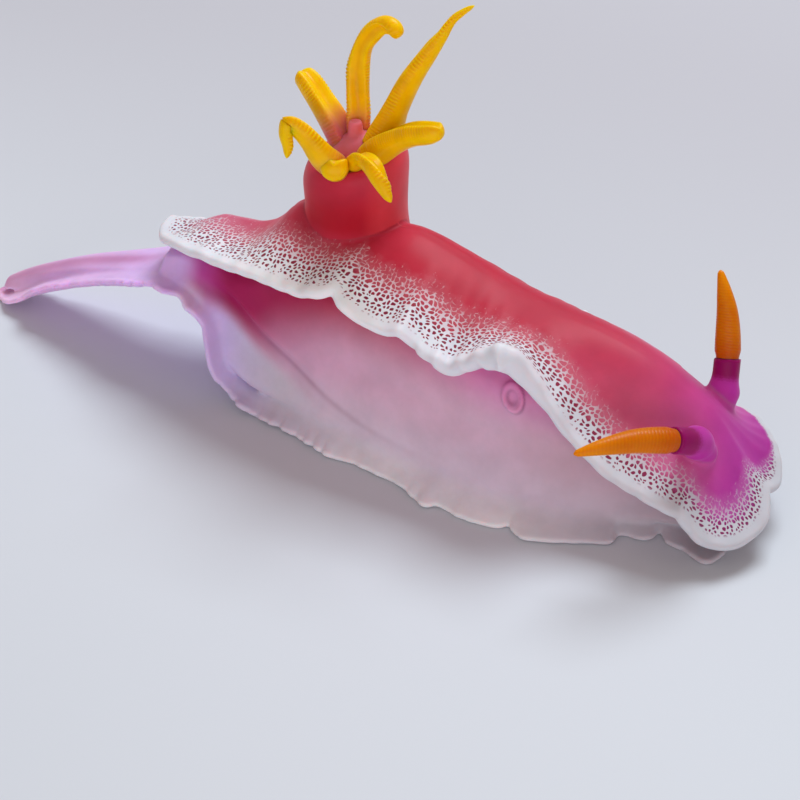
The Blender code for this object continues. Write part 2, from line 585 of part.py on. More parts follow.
# Foot
foot_cuts = FOOT_CUTS + (40.0,)
for name, low, high in zip(("foot_rear", "foot_middle", "foot_front"), foot_cuts, foot_cuts[1:]):
    finish(length_of(foot, name, low, high), PALE, WET, part)

# Mantle
mantle_cuts = (-40.0,) + MANTLE_CUTS + (40.0,)
mantle_names = ("mantle_rear", "mantle_middle", "mantle_front")
mantle_pieces = {}
for name, low, high in zip(mantle_names, mantle_cuts, mantle_cuts[1:]):
    mantle_pieces[name] = length_of(mantle, name, low, high)
    finish(mantle_pieces[name], RED, WET, part)

# Genital pore: a low oval collar with a dimple
tilt, lean = np.radians(PORE_TILT), np.radians(PORE_LEAN)
PORE_OUT = np.array((0.0, -np.cos(tilt), np.sin(tilt)))
PORE_UP = np.array((np.sin(lean), np.sin(tilt) * np.cos(lean), np.cos(tilt) * np.cos(lean)))
PORE_ALONG = np.cross(PORE_UP, PORE_OUT)
t = circle(14)
pore_rings = []
for radius, height in PORE_PROFILE:
    ring = np.array(PORE) + t[:, 1:] * PORE_SIZE[2] * radius * PORE_UP
    ring = ring + t[:, :1] * PORE_SIZE[0] * radius * PORE_ALONG
    pore_rings.append(ring + PORE_OUT * height * PORE_SIZE[1] * 2)
pore = body("genital_pore", pore_rings, "point")
big_rings = []
for ring in pore_rings[:4]:
    centre = ring.mean(axis=0)
    big_rings.append((ring - centre) * (1 + GAP / PORE_SIZE[0]) + centre)
big_rings[0] = big_rings[0] - PORE_OUT * GAP
big_rings[-1] = big_rings[-1] + PORE_OUT * 1.5
pore_big = body("pore_big", big_rings, "point")

# Flanks and head: the trunk clear of mantle and foot
flank = copy_of(trunk, "flank")
combine(flank, mantle_big, "DIFFERENCE")
combine(flank, foot_big, "DIFFERENCE")
combine(flank, pore_big, "DIFFERENCE")
flank_cuts = FLANK_CUTS
for name, low, high in zip(("flank_rear", "flank_middle", "flank_front"), flank_cuts, flank_cuts[1:]):
    finish(length_of(flank, name, low, high), PINK, WET, part)
finish(pore, PURPLE, WET, part)
head = length_of(flank, "head", FLANK_CUTS[-1], 40.0)

# Mouth: lips as a low ring with the slit of the mouth cut in it
mouth_shape = circle(16)
lip_rings = []
for radius, height in LIP_PROFILE:
    ring = np.zeros((16, 3))
    ring[:, 1:] = mouth_shape * np.array(LIP_HALF) * radius
    ring[:, 0] = height
    lip_rings.append(ring + np.array(MOUTH))
lips = body("lips", lip_rings, "point")
slit_rings = []
for radius, height in SLIT_PROFILE:
    ring = np.zeros((16, 3))
    ring[:, 1:] = mouth_shape * np.array(SLIT_HALF) * radius
    ring[:, 0] = height
    slit_rings.append(ring + np.array(MOUTH))
slit = body("slit", slit_rings, "point")
combine(head, lips, "UNION")
combine(head, foot_big, "DIFFERENCE")
combine(head, slit, "DIFFERENCE")

# Oral tentacles
for side, path in TENTACLES:
    line = bend(path, 8)
    t = np.linspace(0, 1, 9)
    sizes = TENTACLE_RADIUS * np.sqrt(np.clip(1.02 - t ** 3, 0, 1))
    sizes[-1] = TENTACLE_RADIUS * 0.35
    tentacle = body("oral_tentacle_" + side, tube_rings(line, circle(10), sizes), "point")
    big = body("tentacle_big", tube_rings(line, circle(10), sizes + GAP), "point")
    combine(head, big, "DIFFERENCE")
    drop(big)
    combine(tentacle, foot_big, "DIFFERENCE")
    combine(tentacle, mantle_big, "DIFFERENCE")
    finish(largest(tentacle), PURPLE, WET, part)
finish(largest(head), PINK, WET, part)

# Gill sheath with the mound the gills stand on
sheath = turned("gill_sheath", SHEATH_FOOT, SHEATH_LEAN, SHEATH_PROFILE, 28,
                slant=SHEATH_SLANT)
sheath_big = turned("sheath_big", SHEATH_FOOT, SHEATH_LEAN,
                    tuple((r, h + (GAP if h > 4.2 else 0.0)) for r, h in SHEATH_PROFILE), 28, GAP,
                    slant=SHEATH_SLANT)
combine(sheath, mantle_big, "DIFFERENCE")
finish(largest(sheath), RED, WET, part)

# Papilla with the vent in the middle of the gills
papilla = turned("anal_papilla", PAPILLA, SHEATH_LEAN, PAPILLA_PROFILE, 12)
papilla_big = turned("papilla_big", PAPILLA, SHEATH_LEAN,
                     tuple((r, h * 1.5) for r, h in PAPILLA_PROFILE), 12, GAP)
combine(papilla, sheath_big, "DIFFERENCE")
finish(largest(papilla), PINK, WET, part)

# Gills: grooved tapering blades with a toothed inner edge, each clear of those before it
kept_clear = [sheath_big, papilla_big]
for name, path in GILLS:
    run = np.linalg.norm(np.diff(bend(path, 60)[:, :3], axis=0), axis=1).sum()
    rows = bend(path, 2 * int(run / PINNULE_STEP))
    line, sizes = rows[:, :3], rows[:, 3] / 2
    sizes[-1] = sizes[-1] * GILL_END
    section = np.repeat(np.array(GILL_SECTION)[None], len(line), axis=0)
    tooth = (np.arange(len(line)) % 2) * PINNULE_REACH
    for corner, way in ((3, 1), (5, -1)):
        section[:, corner, 0] += tooth * way
        section[:, corner, 1] += tooth
    gill = body(name, tube_rings(line, section, sizes, CROWN_MIDDLE), "point")
    gill_big = body(name + "_big", tube_rings(line, section, sizes + GAP, CROWN_MIDDLE), "point")
    for other in kept_clear:
        combine(gill, other, "DIFFERENCE")
    kept_clear.append(gill_big)
    finish(largest(gill), YELLOW, WET, part)

# Rhinophores: stalk with a low collar, club with stacked lamellae
for side, radius, path in RHINOPHORES:
    line = bend(path, 120)
    pace = np.linalg.norm(line[1] - line[0])
    split = int(STALK_SHARE * 120)
    stalk_line = resample(line[:split - round(GAP / pace) + 1], 10)
    t = np.linspace(0, 1, 11)
    sizes = STALK_RADIUS + COLLAR_SWELL * np.exp(-((t - COLLAR_AT) / COLLAR_WIDTH) ** 2)
    stalk = body("rhinophore_stalk_" + side, tube_rings(stalk_line, circle(14), sizes), "point")
    combine(stalk, mantle_big, "DIFFERENCE")
    finish(largest(stalk), PURPLE, WET, part)
    club_line = resample(line[split:], LAMELLAE * 2 + 2)
    t = np.linspace(0, 1, len(club_line))
    sizes = radius * (1 - CLUB_TAPER * t ** CLUB_POWER)
    sizes = sizes * (1 + LAMELLA_DEPTH * (np.arange(len(t)) % 2))
    sizes[0], sizes[-1] = STALK_RADIUS * 0.9, radius * 0.12
    club = body("rhinophore_club_" + side, tube_rings(club_line, circle(11), sizes), "point")
    finish(club, ORANGE, WET, part)

for spare in (mantle, mantle_big, foot, foot_big, trunk, tail, flank, pore_big, lips, slit):
    drop(spare)
for spare in kept_clear:
    drop(spare)
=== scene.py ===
# Hypselodoris variobranchia, a chromodorid sea slug: skin, gills, rhinophores, floor, light, camera.
# Sizes are in millimetres until a mesh is made. Head toward +X, the animal's left +Y, up +Z.
import bpy
import bmesh
import numpy as np
from mathutils import Matrix, Vector
from mathutils.bvhtree import BVHTree


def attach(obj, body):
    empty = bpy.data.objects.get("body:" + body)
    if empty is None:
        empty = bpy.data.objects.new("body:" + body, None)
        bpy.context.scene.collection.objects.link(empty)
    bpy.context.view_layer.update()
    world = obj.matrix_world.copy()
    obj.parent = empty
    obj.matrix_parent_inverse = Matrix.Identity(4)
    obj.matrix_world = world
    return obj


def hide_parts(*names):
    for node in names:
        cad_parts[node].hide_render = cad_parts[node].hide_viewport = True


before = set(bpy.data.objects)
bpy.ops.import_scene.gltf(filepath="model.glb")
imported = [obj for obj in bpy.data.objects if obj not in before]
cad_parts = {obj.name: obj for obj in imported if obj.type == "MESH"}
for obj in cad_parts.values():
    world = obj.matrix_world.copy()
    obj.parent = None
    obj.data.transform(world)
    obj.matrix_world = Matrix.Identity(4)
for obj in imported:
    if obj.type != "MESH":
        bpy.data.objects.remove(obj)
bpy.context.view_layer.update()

MM = 0.001

# Height of the back along the body: x, z
RIDGE = (
    (-19.5, 8.8), (-17, 9.7), (-14.5, 10.5), (-12.5, 10.45), (-11.3, 10.8), (-10.2, 11.6), (-9.2, 12.7),
    (-8.4, 13.1), (-6.5, 12.9), (-4.5, 12.85), (-1, 12.95), (2, 12.3), (5, 11.3), (8.2, 10.55),
    (11.5, 10.15), (14.5, 9.5), (16.4, 8.75), (17.8, 7.85), (19.2, 7.1), (20.6, 6.5), (22.2, 5.8),
    (24.5, 3.9))

# Sideways position of the line along the middle of the back: x, y
SPINE = ((-19.5, 0.4), (-14, 0.8), (-9, 1.15), (-3, 1.2), (3, 0.8), (9, 0.3), (14, 0), (24.5, -0.6))

# Edge of the mantle round the animal, from the rear tip along the right side to the front
MANTLE_RIGHT = (
    (-18.4, 0.6, 9.6), (-17.8, -1.5, 9.7), (-15.9, -2.8, 10.2), (-13.8, -3.5, 10.4), (-10.2, -4.5, 10.8),
    (-7, -5, 10.7), (-4.4, -5.5, 11.2), (-3.1, -5.1, 11.6), (-2.4, -5.7, 11), (0, -6, 10.4),
    (2.3, -6.1, 10.4), (3.6, -6.3, 9.6), (4.9, -6.4, 9.3), (6.6, -6.5, 10.1), (8.6, -6.2, 10.7),
    (9.9, -6, 10), (11.4, -6, 8.3), (13.2, -6.2, 6.5), (15.2, -6.5, 5.2), (17.3, -6.7, 4.5),
    (19.2, -6.8, 4.1), (20.2, -6.8, 3.8), (20.9, -6.7, 3.1), (21.6, -6.5, 2.3), (22.6, -6, 2),
    (23.5, -4.8, 2), (24, -3, 2.4))

# and back along the left side to the rear tip
MANTLE_LEFT = (
    (23.5, -1.2, 3), (23.7, 0.2, 2.8), (23.3, 1.4, 3.2), (22.4, 2.9, 3.7), (20.9, 4.3, 3.8),
    (19, 5.3, 3.8), (17, 5.8, 4), (14.4, 5.9, 4.6), (11.6, 6.1, 5.8), (9, 6.3, 6.5), (6.4, 6.5, 6.7),
    (3.6, 6.6, 7), (0.6, 6.6, 7.2), (-2.6, 6.5, 7.5), (-6, 6.3, 7.6), (-9.4, 5.8, 7.6),
    (-12.6, 4.9, 7.8), (-15.4, 3.9, 8.2), (-17.5, 2.4, 8.8))

# Thickness of the mantle at its rim and over the middle
RIM_THICK = 0.65
RIM_BULGE = 0.42
BACK_THICK = 2.3

# Middle line of mantle and of foot: start, length, and the x where it ends at the rear and in front
MANTLE_MIDDLE = (-17.5, 40.0, -14.6, 19.0)
FOOT_MIDDLE = (-32.6, 53.6, -31.0, 19.0)

# Fall of the back toward its edge: share of a rounded and of a wavelike section
ROUND_FALL = 0.55
WAVE_FALL = 0.45

# Rim of the right side curled up over the genital pore: x, rise
CURL = ((3.6, 0), (5.2, 0.35), (6.4, 0.3), (7.6, 0.75), (8.6, 0.95), (9.6, 0.8), (11.8, 0))
CURL_Y = -3.0
CURL_FROM = 0.6
CURL_BULGE = 0.22

# Ripple of the mantle's rim and swell of the back along the body
RIPPLE = ((-18.5, 0.04), (-12, 0.08), (0, 0.1), (3, 0.2), (8, 0.18), (12, 0.08), (24, 0.05))
BACK_SWELL = ((-18.5, 0.1), (-15, 0.6), (-11, 1), (10, 1), (15, 0.7), (19, 0.25), (22, 0.1))

# Underside of the foot along the body: x, z
SOLE = (
    (-33.2, 0), (-32.2, 0), (-30.6, 0.5), (-28, 1.7), (-25, 3.1), (-22, 4.3), (-19.5, 5.2),
    (-17.2, 5.95), (-15.6, 6), (-14.4, 5.5), (-13.75, 4.6), (-13.3, 3.5), (-12.9, 2.3), (-12.4, 1.4),
    (-11.7, 0.8), (-10.8, 0.35), (-9.8, 0.08), (-9, 0), (-8, 0), (26, 0))

# How far the right edge of the foot turns up along the tail: x, rise
TURN_UP = ((-32.5, 0), (-31, 0), (-27.5, 0.9), (-21, 0.9), (-17, 0.6), (-14, 0.3), (-12, 0), (26, 0))

# Edge of the foot seen from above: tail tip, right side, front
FOOT_RIGHT = (
    (-32.9, 0), (-31.6, -1.3), (-28.8, -2.1), (-25, -2.6), (-21, -3), (-17.5, -3.6), (-14.6, -4.1),
    (-13.1, -4.4), (-12.4, -4.55), (-10.7, -4.8), (-8.6, -5.2), (-6, -5.8), (-2.8, -6.9), (-1.2, -6.75),
    (0.6, -7), (2.6, -7.4), (3.5, -7.95), (4.6, -8.5), (5.3, -8.1), (6.9, -8.55), (9.3, -8.45),
    (9.9, -8), (11.1, -8.65), (12.6, -8.25), (14.9, -7.2), (15.85, -6.75), (16.2, -5.75), (17.7, -5.45),
    (18.25, -4.6), (19.1, -5.2), (20.6, -5.6), (21.6, -6), (22.1, -4.9), (22.5, -2.2))
FOOT_LEFT = (
    (22.3, 0), (22.4, 2.4), (21.6, 4.6), (20, 5.3), (18, 5.4), (15.4, 6.6), (12, 7.5), (8, 7.8),
    (3, 7.6), (-2, 6.9), (-7, 5.8), (-10.7, 4.9), (-13.1, 4.4), (-14.6, 4.1), (-17.5, 3.5), (-21, 2.9),
    (-25, 2.4), (-28.8, 1.9), (-31.6, 1.1))
FOOT_RIM = 0.34
FOOT_BULGE = 0.4
FOOT_THICK = 1.9
FOOT_SWELL = (
    (-33, 0), (-30, 0.2), (-25, 0.35), (-18, 0.4), (-15, 0.25), (-11, 0.25), (-8, 0.8), (0, 1), (15, 1),
    (20, 0.2))
SCALLOP_OUT = 0.28
SCALLOP_UP = 0.34

# The waves die away at the tips, and on the right in front, where the edge has its own lobes
CALM_WIDTH = 2.5
DRAWN_FROM = -3.0
DRAWN_CALM = 0.7

# Waves round an edge: how many, then slower swings that bend them, as size, count and phase
MANTLE_WAVES = (29, (1.9, 5, 0), (0.9, 11, 2))
MANTLE_FINE = (67, (2.0, 7, 1))
FOOT_WAVES = (27, (1.6, 5, 0), (0.8, 13, 1))
FOOT_FINE = (63, (1.4, 9, 0))

# Trunk between foot and mantle: x, half width
TRUNK = (
    (-32.4, 0.4), (-30.6, 0.7), (-27, 1.1), (-23, 1.5), (-19, 2.1), (-15, 2.7), (-12, 3.3), (-8, 4),
    (-4, 4.7), (0, 5.3), (4, 5.7), (8, 5.9), (12, 5.6), (15, 5), (18, 4.3), (20, 3.6), (21.2, 2.8),
    (21.9, 1.6))

# Cross section of the trunk: share of the height, share of the half width
SECTION = (
    (0, 0), (0.03, 1.02), (0.1, 1.1), (0.22, 1.03), (0.4, 0.96), (0.6, 0.91), (0.76, 0.86), (0.88, 0.66),
    (0.96, 0.38), (1, 0))

# Height of the trunk's lowest line over the sole, and of the back over the trunk's top
TRUNK_FROM_SOLE = 0.7
TRUNK_UNDER_BACK = 1.2

# Groove along the flank above the foot: x, level, depth
GROOVE = (
    (-16, 7.4, 0), (-13.6, 6.9, 0.3), (-12.2, 6.2, 0.4), (-10.2, 5, 0.4), (-7.3, 3.9, 0.4),
    (-4, 2.7, 0.3), (0, 1.9, 0.15), (4, 1.6, 0))
GROOVE_ROW = 0.24
GROOVE_WIDTH = 0.45

# Top of the trunk behind the mantle and in the head: x, z
TAIL_TOP = (
    (-33, 0.8), (-32, 1.5), (-30.5, 2.4), (-28, 3.6), (-25, 4.8), (-22, 5.7), (-20, 6.3), (-18, 7.3))
HEAD_TOP = ((16, 7.3), (19, 5.6), (21, 4.2), (22.2, 2.9))

# Gill sheath: foot of its axis, slant of its rim and the height where it is full, then the profile
# as radius and height
SHEATH_FOOT = (-5.3, 1.7, 12.2)
SHEATH_SLANT = (0.2, 0.1)
SLANT_FULL = 4.0
SHEATH_PROFILE = (
    (3.5, -1.4), (3.26, 0.2), (3.2, 1.2), (3.24, 2.4), (3.28, 3.4), (3.22, 4), (3.04, 4.5), (2.78, 4.8),
    (2.5, 4.75), (2.25, 4.55), (1.95, 4.75), (1.65, 5.1), (1.3, 5.5), (0.95, 5.8), (0.5, 6))

# Gills: path of each with its width; they face the middle of the crown
GILLS = (
    ("gill_near",
     ((-5.95, 0.4, 16.1, 1.2), (-5.55, -0.45, 16.7, 1.5), (-5.15, -1.25, 17.3, 1.66),
      (-4.8, -2.05, 17.85, 1.66))),
    ("gill_1",
     ((-6.1, 0.9, 16.3, 1.5), (-5.95, -0.3, 17, 1.75), (-5.85, -1.2, 17.8, 1.75), (-6, -1.6, 18.4, 1.65),
      (-6.45, -1.85, 19.2, 1.42), (-7, -2.05, 19.85, 1.28), (-7.55, -2.3, 20.2, 1.12),
      (-7.66, -2.58, 19.65, 0.92), (-7.53, -2.68, 18.9, 0.68), (-7.56, -2.8, 18.1, 0.28))),
    ("gill_2",
     ((-6, 1.8, 17, 1.7), (-7.15, 2.2, 18.5, 1.75), (-8.25, 2.65, 19.42, 1.6), (-9.2, 3, 20.2, 1.5),
      (-10, 3.3, 20.6, 1.2))),
    ("gill_3",
     ((-5.6, 2.5, 16.9, 1.5), (-5.6, 2.7, 18.9, 1.44), (-5.8, 3, 20.3, 1.43), (-5.9, 3.3, 21.7, 1.39),
      (-5.6, 3.4, 23.2, 1.16), (-4.9, 3.4, 24.3, 1.13), (-4.1, 3.2, 25, 1.07), (-3.35, 3, 25, 1.06),
      (-3, 2.8, 24.5, 1))),
    ("gill_4",
     ((-4.5, 2.1, 16.8, 2), (-3.5, 2.1, 18.8, 2.2), (-2.9, 2.2, 20.3, 1.8), (-2.3, 2.4, 21.7, 1.6),
      (-1.65, 2.6, 22.9, 1.36), (-1, 2.9, 24, 1.16), (-0.35, 3.1, 25, 0.84), (0.2, 3.4, 26, 0.58),
      (0.8, 3.6, 26.6, 0.42), (1.5, 3.8, 27.1, 0.2))),
    ("gill_5",
     ((-4.3, 1.2, 16.8, 1.8), (-3, 0.7, 18.3, 1.95), (-1.7, 0.3, 19.4, 1.72), (-0.4, -0.3, 20.3, 1.58),
      (0.9, -0.8, 20.9, 1.42), (1.8, -1.1, 21.4, 0.98))),
    ("gill_6",
     ((-4.7, 0.5, 16.6, 1.1), (-4.2, -0.4, 17.5, 1.1), (-3.3, -1.3, 18.4, 1.02), (-2.2, -2.2, 18.7, 1.16),
      (-1.3, -2.8, 18.2, 1.05), (-0.7, -3.1, 17.6, 0.7), (-0.3, -3.3, 17.2, 0.36))),
)
CROWN_MIDDLE = (-5.3, 1.7, 24.0)
GILL_SECTION = (
    (0, -1), (0.72, -0.72), (1, 0), (0.74, 0.72), (0, 0.5), (-0.74, 0.72), (-1, 0), (-0.72, -0.72))
PINNULE_PITCH = 0.22
PINNULE_REACH = 0.07
END_ROUND = 0.45
GILL_AROUND = 48

# Pink of each gill's root: how far out it ends, where it is full, how strong
ROOT_FADE = {"gill_1": (3.6, 1.6, 0.6), "gill_2": (2.9, 1.0, 1.0), "gill_3": (2.9, 1.0, 1.0)}
PLAIN_ROOT = (1.3, 0.5, 0.8)

# Rhinophores: radius of the club, path from inside the head to the tip
RHINOPHORES = (
    ("right", 0.76, ((19.9, -2.6, 5.2), (19.65, -3.6, 6.6), (19.4, -4.6, 7.3), (18.6, -5.9, 7.95),
                     (17.2, -7.4, 8.4), (15.8, -9, 8.55), (14.6, -10.1, 8.4))),
    ("left", 0.77, ((19.35, 1.5, 5.2), (19.25, 2, 6.7), (19.15, 2.5, 7.8), (18.95, 3.05, 8.9),
                    (18.5, 3.8, 10.7), (18, 4.3, 12), (17.45, 4.8, 13.1))),
)
STALK_SHARE = 0.42
STALK_RADIUS = 0.8
COLLAR_AT = 0.42
COLLAR_SWELL = 0.2
COLLAR_WIDTH = 0.16
CLUB_TAPER = 0.8
CLUB_POWER = 2.2
CLUB_LAMELLAE = 30
LAMELLA_DEPTH = 0.02
CLUB_STEPS = 360
CLUB_AROUND = 64

# Papilla with the vent: its place on the dome, profile as radius and height
PAPILLA = (-5.3, 1.7, 18.4)
PAPILLA_PROFILE = ((0.5, -0.6), (0.44, 0.2), (0.42, 0.45), (0.36, 0.62), (0.26, 0.68), (0.13, 0.5))

# Mouth and oral tentacles under the front of the mantle
MOUTH = (21.8, -0.1, 1.75)
LIP_SIZE = (1.15, 0.62)
LIP_PROFILE = ((0.9, -0.9), (1.05, 0), (0.95, 0.3), (0.6, 0.42), (0.2, 0.3))
TENTACLES = (("right", ((20.6, -1.7, 1.9), (21.9, -2.2, 1.75), (22.9, -2.7, 1.6))),
             ("left", ((20.6, 1.5, 1.9), (21.9, 2, 1.75), (22.9, 2.5, 1.6))))
TENTACLE_RADIUS = 0.42

# Genital pore on the right flank: place, sizes along, outward and up, then its turns in degrees
PORE = (8.6, -4.8, 7.05)
PORE_SIZE = (0.68, 0.5, 0.95)
PORE_TILT = 28.0
PORE_LEAN = -28.0
PORE_PROFILE = ((0.7, -1), (0.95, -0.3), (1.06, 0.1), (0.85, 0.35), (0.55, 0.25), (0.3, 0), (0.1, -0.1))

# Its dark rings: radius, width, strength, how even round the ring, where it is darkest
PORE_RINGS = ((1.05, 0.075, 1, 0.6, 0.9), (0.45, 0.12, 0.8, 0.6, -2.6), (0.75, 0.08, 0.4, 0, 0.5))

tilt, lean = np.radians(PORE_TILT), np.radians(PORE_LEAN)
PORE_OUT = np.array((0.0, -np.cos(tilt), np.sin(tilt)))
PORE_UP = np.array((np.sin(lean), np.sin(tilt) * np.cos(lean), np.cos(tilt) * np.cos(lean)))
PORE_ALONG = np.cross(PORE_UP, PORE_OUT)

# Fineness of the skin and of its masters, rounds and steps of its smoothing
FINE_VOXEL = 0.11
VOXEL = FINE_VOXEL
EDGE_STEPS = 3200
MANTLE_HALF = 420
FOOT_HALF = 620
TRUNK_STATIONS = ((-32.4, -15.5, 60), (-15.3, -11.2, 40), (-11, 19, 90), (19.3, 21.9, 14))
STEM_STEPS = 240
CALM_REACH = 0.03
FLANK_ROUNDS = 260
CREASE_ROUNDS = 24
SMOOTH_IN = 0.5
SMOOTH_OUT = -0.53
CREASE_LIFT = 0.9
CREASE_SLIDE = 0.3

# Where the lace is laid: lowest height, farthest distance from the mantle's face, value elsewhere
LACE_FLOOR = 1.2
LACE_REACH = 2.0
FAR_FROM_RIM = 9.0

# Camera at the photo's angle: degrees, millimetres, and pixels for a millimetre at the target
AZIMUTH = 27.0
ELEVATION = 35.0
DISTANCE = 130.0
PIXELS_PER_MM = 15.5
TARGET = (-1.4, 0.0, 0.7)
IMAGE_SIDE = 800
SENSOR = 36.0

# Floor and lights, in metres: place, size, power and colour of each light
FLOOR_HALF = 1.2
FLOOR_LEVEL = -0.00002
LIGHTS = (("key", (0, 0.165, 0.29), (0.15, 0.15), 0.88, (0.86, 0.95, 1)),
          ("fill", (0.15, -0.3, 0.08), (0.4, 0.12), 0.43, (1, 0.97, 0.97)))
SURROUND = (1.0, 0.87, 0.82, 1)
SURROUND_POWER = 0.38


def steps(table, x):
    """Smooth values read from a station table at x, without overshoot."""
    rows = np.array(table, dtype=float)
    xs, ys = rows[:, 0], rows[:, 1:]
    x = np.clip(np.asarray(x, dtype=float), xs[0], xs[-1])
    h = np.diff(xs)
    slope = np.diff(ys, axis=0) / h[:, None]
    tang = np.zeros_like(ys)
    same = slope[:-1] * slope[1:] > 0
    mean = 2.0 * slope[:-1] * slope[1:] / np.where(same, slope[:-1] + slope[1:], 1.0)
    tang[1:-1] = np.where(same, mean, 0.0)
    tang[0], tang[-1] = slope[0], slope[-1]
    i = np.clip(np.searchsorted(xs, x) - 1, 0, len(h) - 1)
    t = ((x - xs[i]) / h[i])[..., None]
    k = h[i][..., None]
    a = (1 + 2 * t) * (1 - t) ** 2 * ys[i] + t * t * (3 - 2 * t) * ys[i + 1]
    b = t * (1 - t) ** 2 * k * tang[i] + t * t * (t - 1) * k * tang[i + 1]
    out = a + b
    return out[..., 0] if ys.shape[1] == 1 else out


def ease(low, high, x):
    """Smooth step from 0 at low to 1 at high; low may be the greater."""
    t = np.clip((x - low) / (high - low), 0, 1)
    return t * t * (3 - 2 * t)


def resample(points, count):
    """The same curve with count even steps."""
    run = np.concatenate(([0.0], np.cumsum(np.linalg.norm(np.diff(points, axis=0), axis=1))))
    want = np.linspace(0.0, run[-1], count + 1)
    return np.stack([np.interp(want, run, points[:, k]) for k in range(points.shape[1])], axis=1)


def bend(points, count, closed=False, fine=16):
    """Points along a smooth curve through the given ones, evenly spaced."""
    p = np.array(points, dtype=float)
    if closed:
        p = np.vstack((p[-1:], p, p[:2]))
    else:
        p = np.vstack((2 * p[0] - p[1], p, 2 * p[-1] - p[-2]))
    t = np.linspace(0.0, 1.0, fine, endpoint=False)[:, None]
    dense = []
    for a, b, c, d in zip(p[:-3], p[1:-2], p[2:-1], p[3:]):
        cubic = (-a + 3 * b - 3 * c + d) * t + (2 * a - 5 * b + 4 * c - d)
        dense.append(0.5 * ((cubic * t + (c - a)) * t + 2 * b))
    dense.append(p[-2:-1])
    return resample(np.vstack(dense), count)


def edge_loop(right, left, half):
    """Edge from the rear tip up the right side and back down the left, half steps to a side."""
    front = left[0]
    whole = bend(right + left, EDGE_STEPS, closed=True, fine=64)
    near = int(np.argmin(np.linalg.norm(whole[:-1] - np.array(front), axis=1)))
    one = resample(whole[:near + 1], half)
    two = resample(whole[near:], half)
    return np.vstack((one[:-1], two[:-1]))


def unit(v):
    """Vectors of length one."""
    return v / np.maximum(np.linalg.norm(v, axis=-1, keepdims=True), 1e-9)


def leaf_normals(grid):
    """Normals of a surface given as rings, inner ring first, pointing up."""
    along = np.roll(grid, -1, axis=1) - np.roll(grid, 1, axis=1)
    across = np.gradient(grid, axis=0)
    n = unit(np.cross(along, across))
    return np.where(np.mean(n[..., 2]) > 0, n, -n)


def calmed(edge):
    """The edge loop with its lobes smoothed away, for the rings inside it."""
    count = len(edge)
    away = np.abs((np.arange(count) + count // 2) % count - count // 2)
    weight = np.exp(-(away / (CALM_REACH * count)) ** 2)
    weight = np.fft.rfft(weight / weight.sum())
    return np.fft.irfft(np.fft.rfft(edge, axis=0) * weight[:, None], count, axis=0)


def inward(edge, middle, r):
    """x and y of rings between a middle line and an edge, the lobes growing toward the edge."""
    lobes = r[..., None] ** 3
    border = calmed(edge) * (1 - lobes) + edge * lobes
    return np.moveaxis(middle * (1 - r[..., None]) + border[..., :2] * r[..., None], 2, 0)


def swing(turn, count, *bends):
    """Angle that runs count times round an edge, bent by slower swings."""
    angle = turn * count
    for size, times, phase in bends:
        angle = angle + size * np.sin(turn * times + phase)
    return angle


def whole_turn(count):
    """Angles of a full turn in even steps."""
    return np.arange(count) / count * 2 * np.pi


def middle_line(edge, start, length, rear, front):
    """For each point of an edge, x of the point of the middle line that it faces."""
    low, high = edge[:, 0].min(), edge[:, 0].max()
    return np.clip(start + (edge[:, 0] - low) / (high - low) * length, rear, front)


def rolled_rim(one, two, out, bulge, count):
    """Rings that round a rim from one face to the other, standing out by bulge in the middle."""
    rings = []
    for turn in np.linspace(0, np.pi, count)[1:-1]:
        share = 0.5 - 0.5 * np.cos(turn)
        stand = np.atleast_1d(bulge * np.sin(turn))[:, None]
        rings.append(one * (1 - share) + two * share + out * stand)
    return rings


def mantle_top(half, shares):
    """Upper face of the mantle as rings from the middle out, with its edge and middle line."""
    edge = edge_loop(MANTLE_RIGHT, MANTLE_LEFT, half)
    turn = whole_turn(2 * half)
    ripple = np.sin(swing(turn, *MANTLE_WAVES)) + 0.6 * np.sin(swing(turn, *MANTLE_FINE))
    swell = steps(RIPPLE, edge[:, 0])
    edge[:, 2] += swell * ripple
    edge[:, 1] += 0.5 * swell * ripple * np.sign(edge[:, 1])
    mid_x = middle_line(edge, *MANTLE_MIDDLE)
    middle = np.stack((mid_x, steps(SPINE, mid_x)), axis=1)
    r = np.array(shares)[:, None]
    x, y = inward(edge, middle, r)
    drop = ROUND_FALL * (1 - np.cos(r * np.pi / 2)) + WAVE_FALL * np.sin(r * np.pi / 2) ** 2
    curl = steps(CURL, x) * (y < CURL_Y) * np.clip((r - CURL_FROM) / (1 - CURL_FROM), 0, 1) ** 2
    z = steps(RIDGE, x) * (1 - drop) + edge[:, 2] * drop + curl
    return np.stack((x, y, z), axis=2), edge, middle, r, curl


def mantle_rings(half, shares):
    """Rings of the mantle: top from the middle out, the rolled rim, then the underside back in."""
    top, edge, middle, r, curl = mantle_top(half, shares)
    n = leaf_normals(top)
    upright = np.clip((r - 0.15) / 0.6, 0, 1)[..., None]
    n = unit(n * upright + np.array((0.0, 0.0, 1.0)) * (1 - upright))
    thick = RIM_THICK + (BACK_THICK - RIM_THICK) * (1 - r ** 3) * steps(BACK_SWELL, top[..., 0]) + curl
    along = unit(np.roll(top[-1], -1, axis=0) - np.roll(top[-1], 1, axis=0))
    out = unit(np.cross(n[-1], along))
    away = np.sign(np.sum(out[:, :2] * (edge[:, :2] - middle), axis=1))[:, None]
    out = out * np.where(away == 0, 1.0, away)
    under = top - n * thick[..., None]
    rim = rolled_rim(top[-1], under[-1], out, RIM_THICK * RIM_BULGE + CURL_BULGE * curl[-1], 9)
    return list(top) + rim + list(under[::-1])


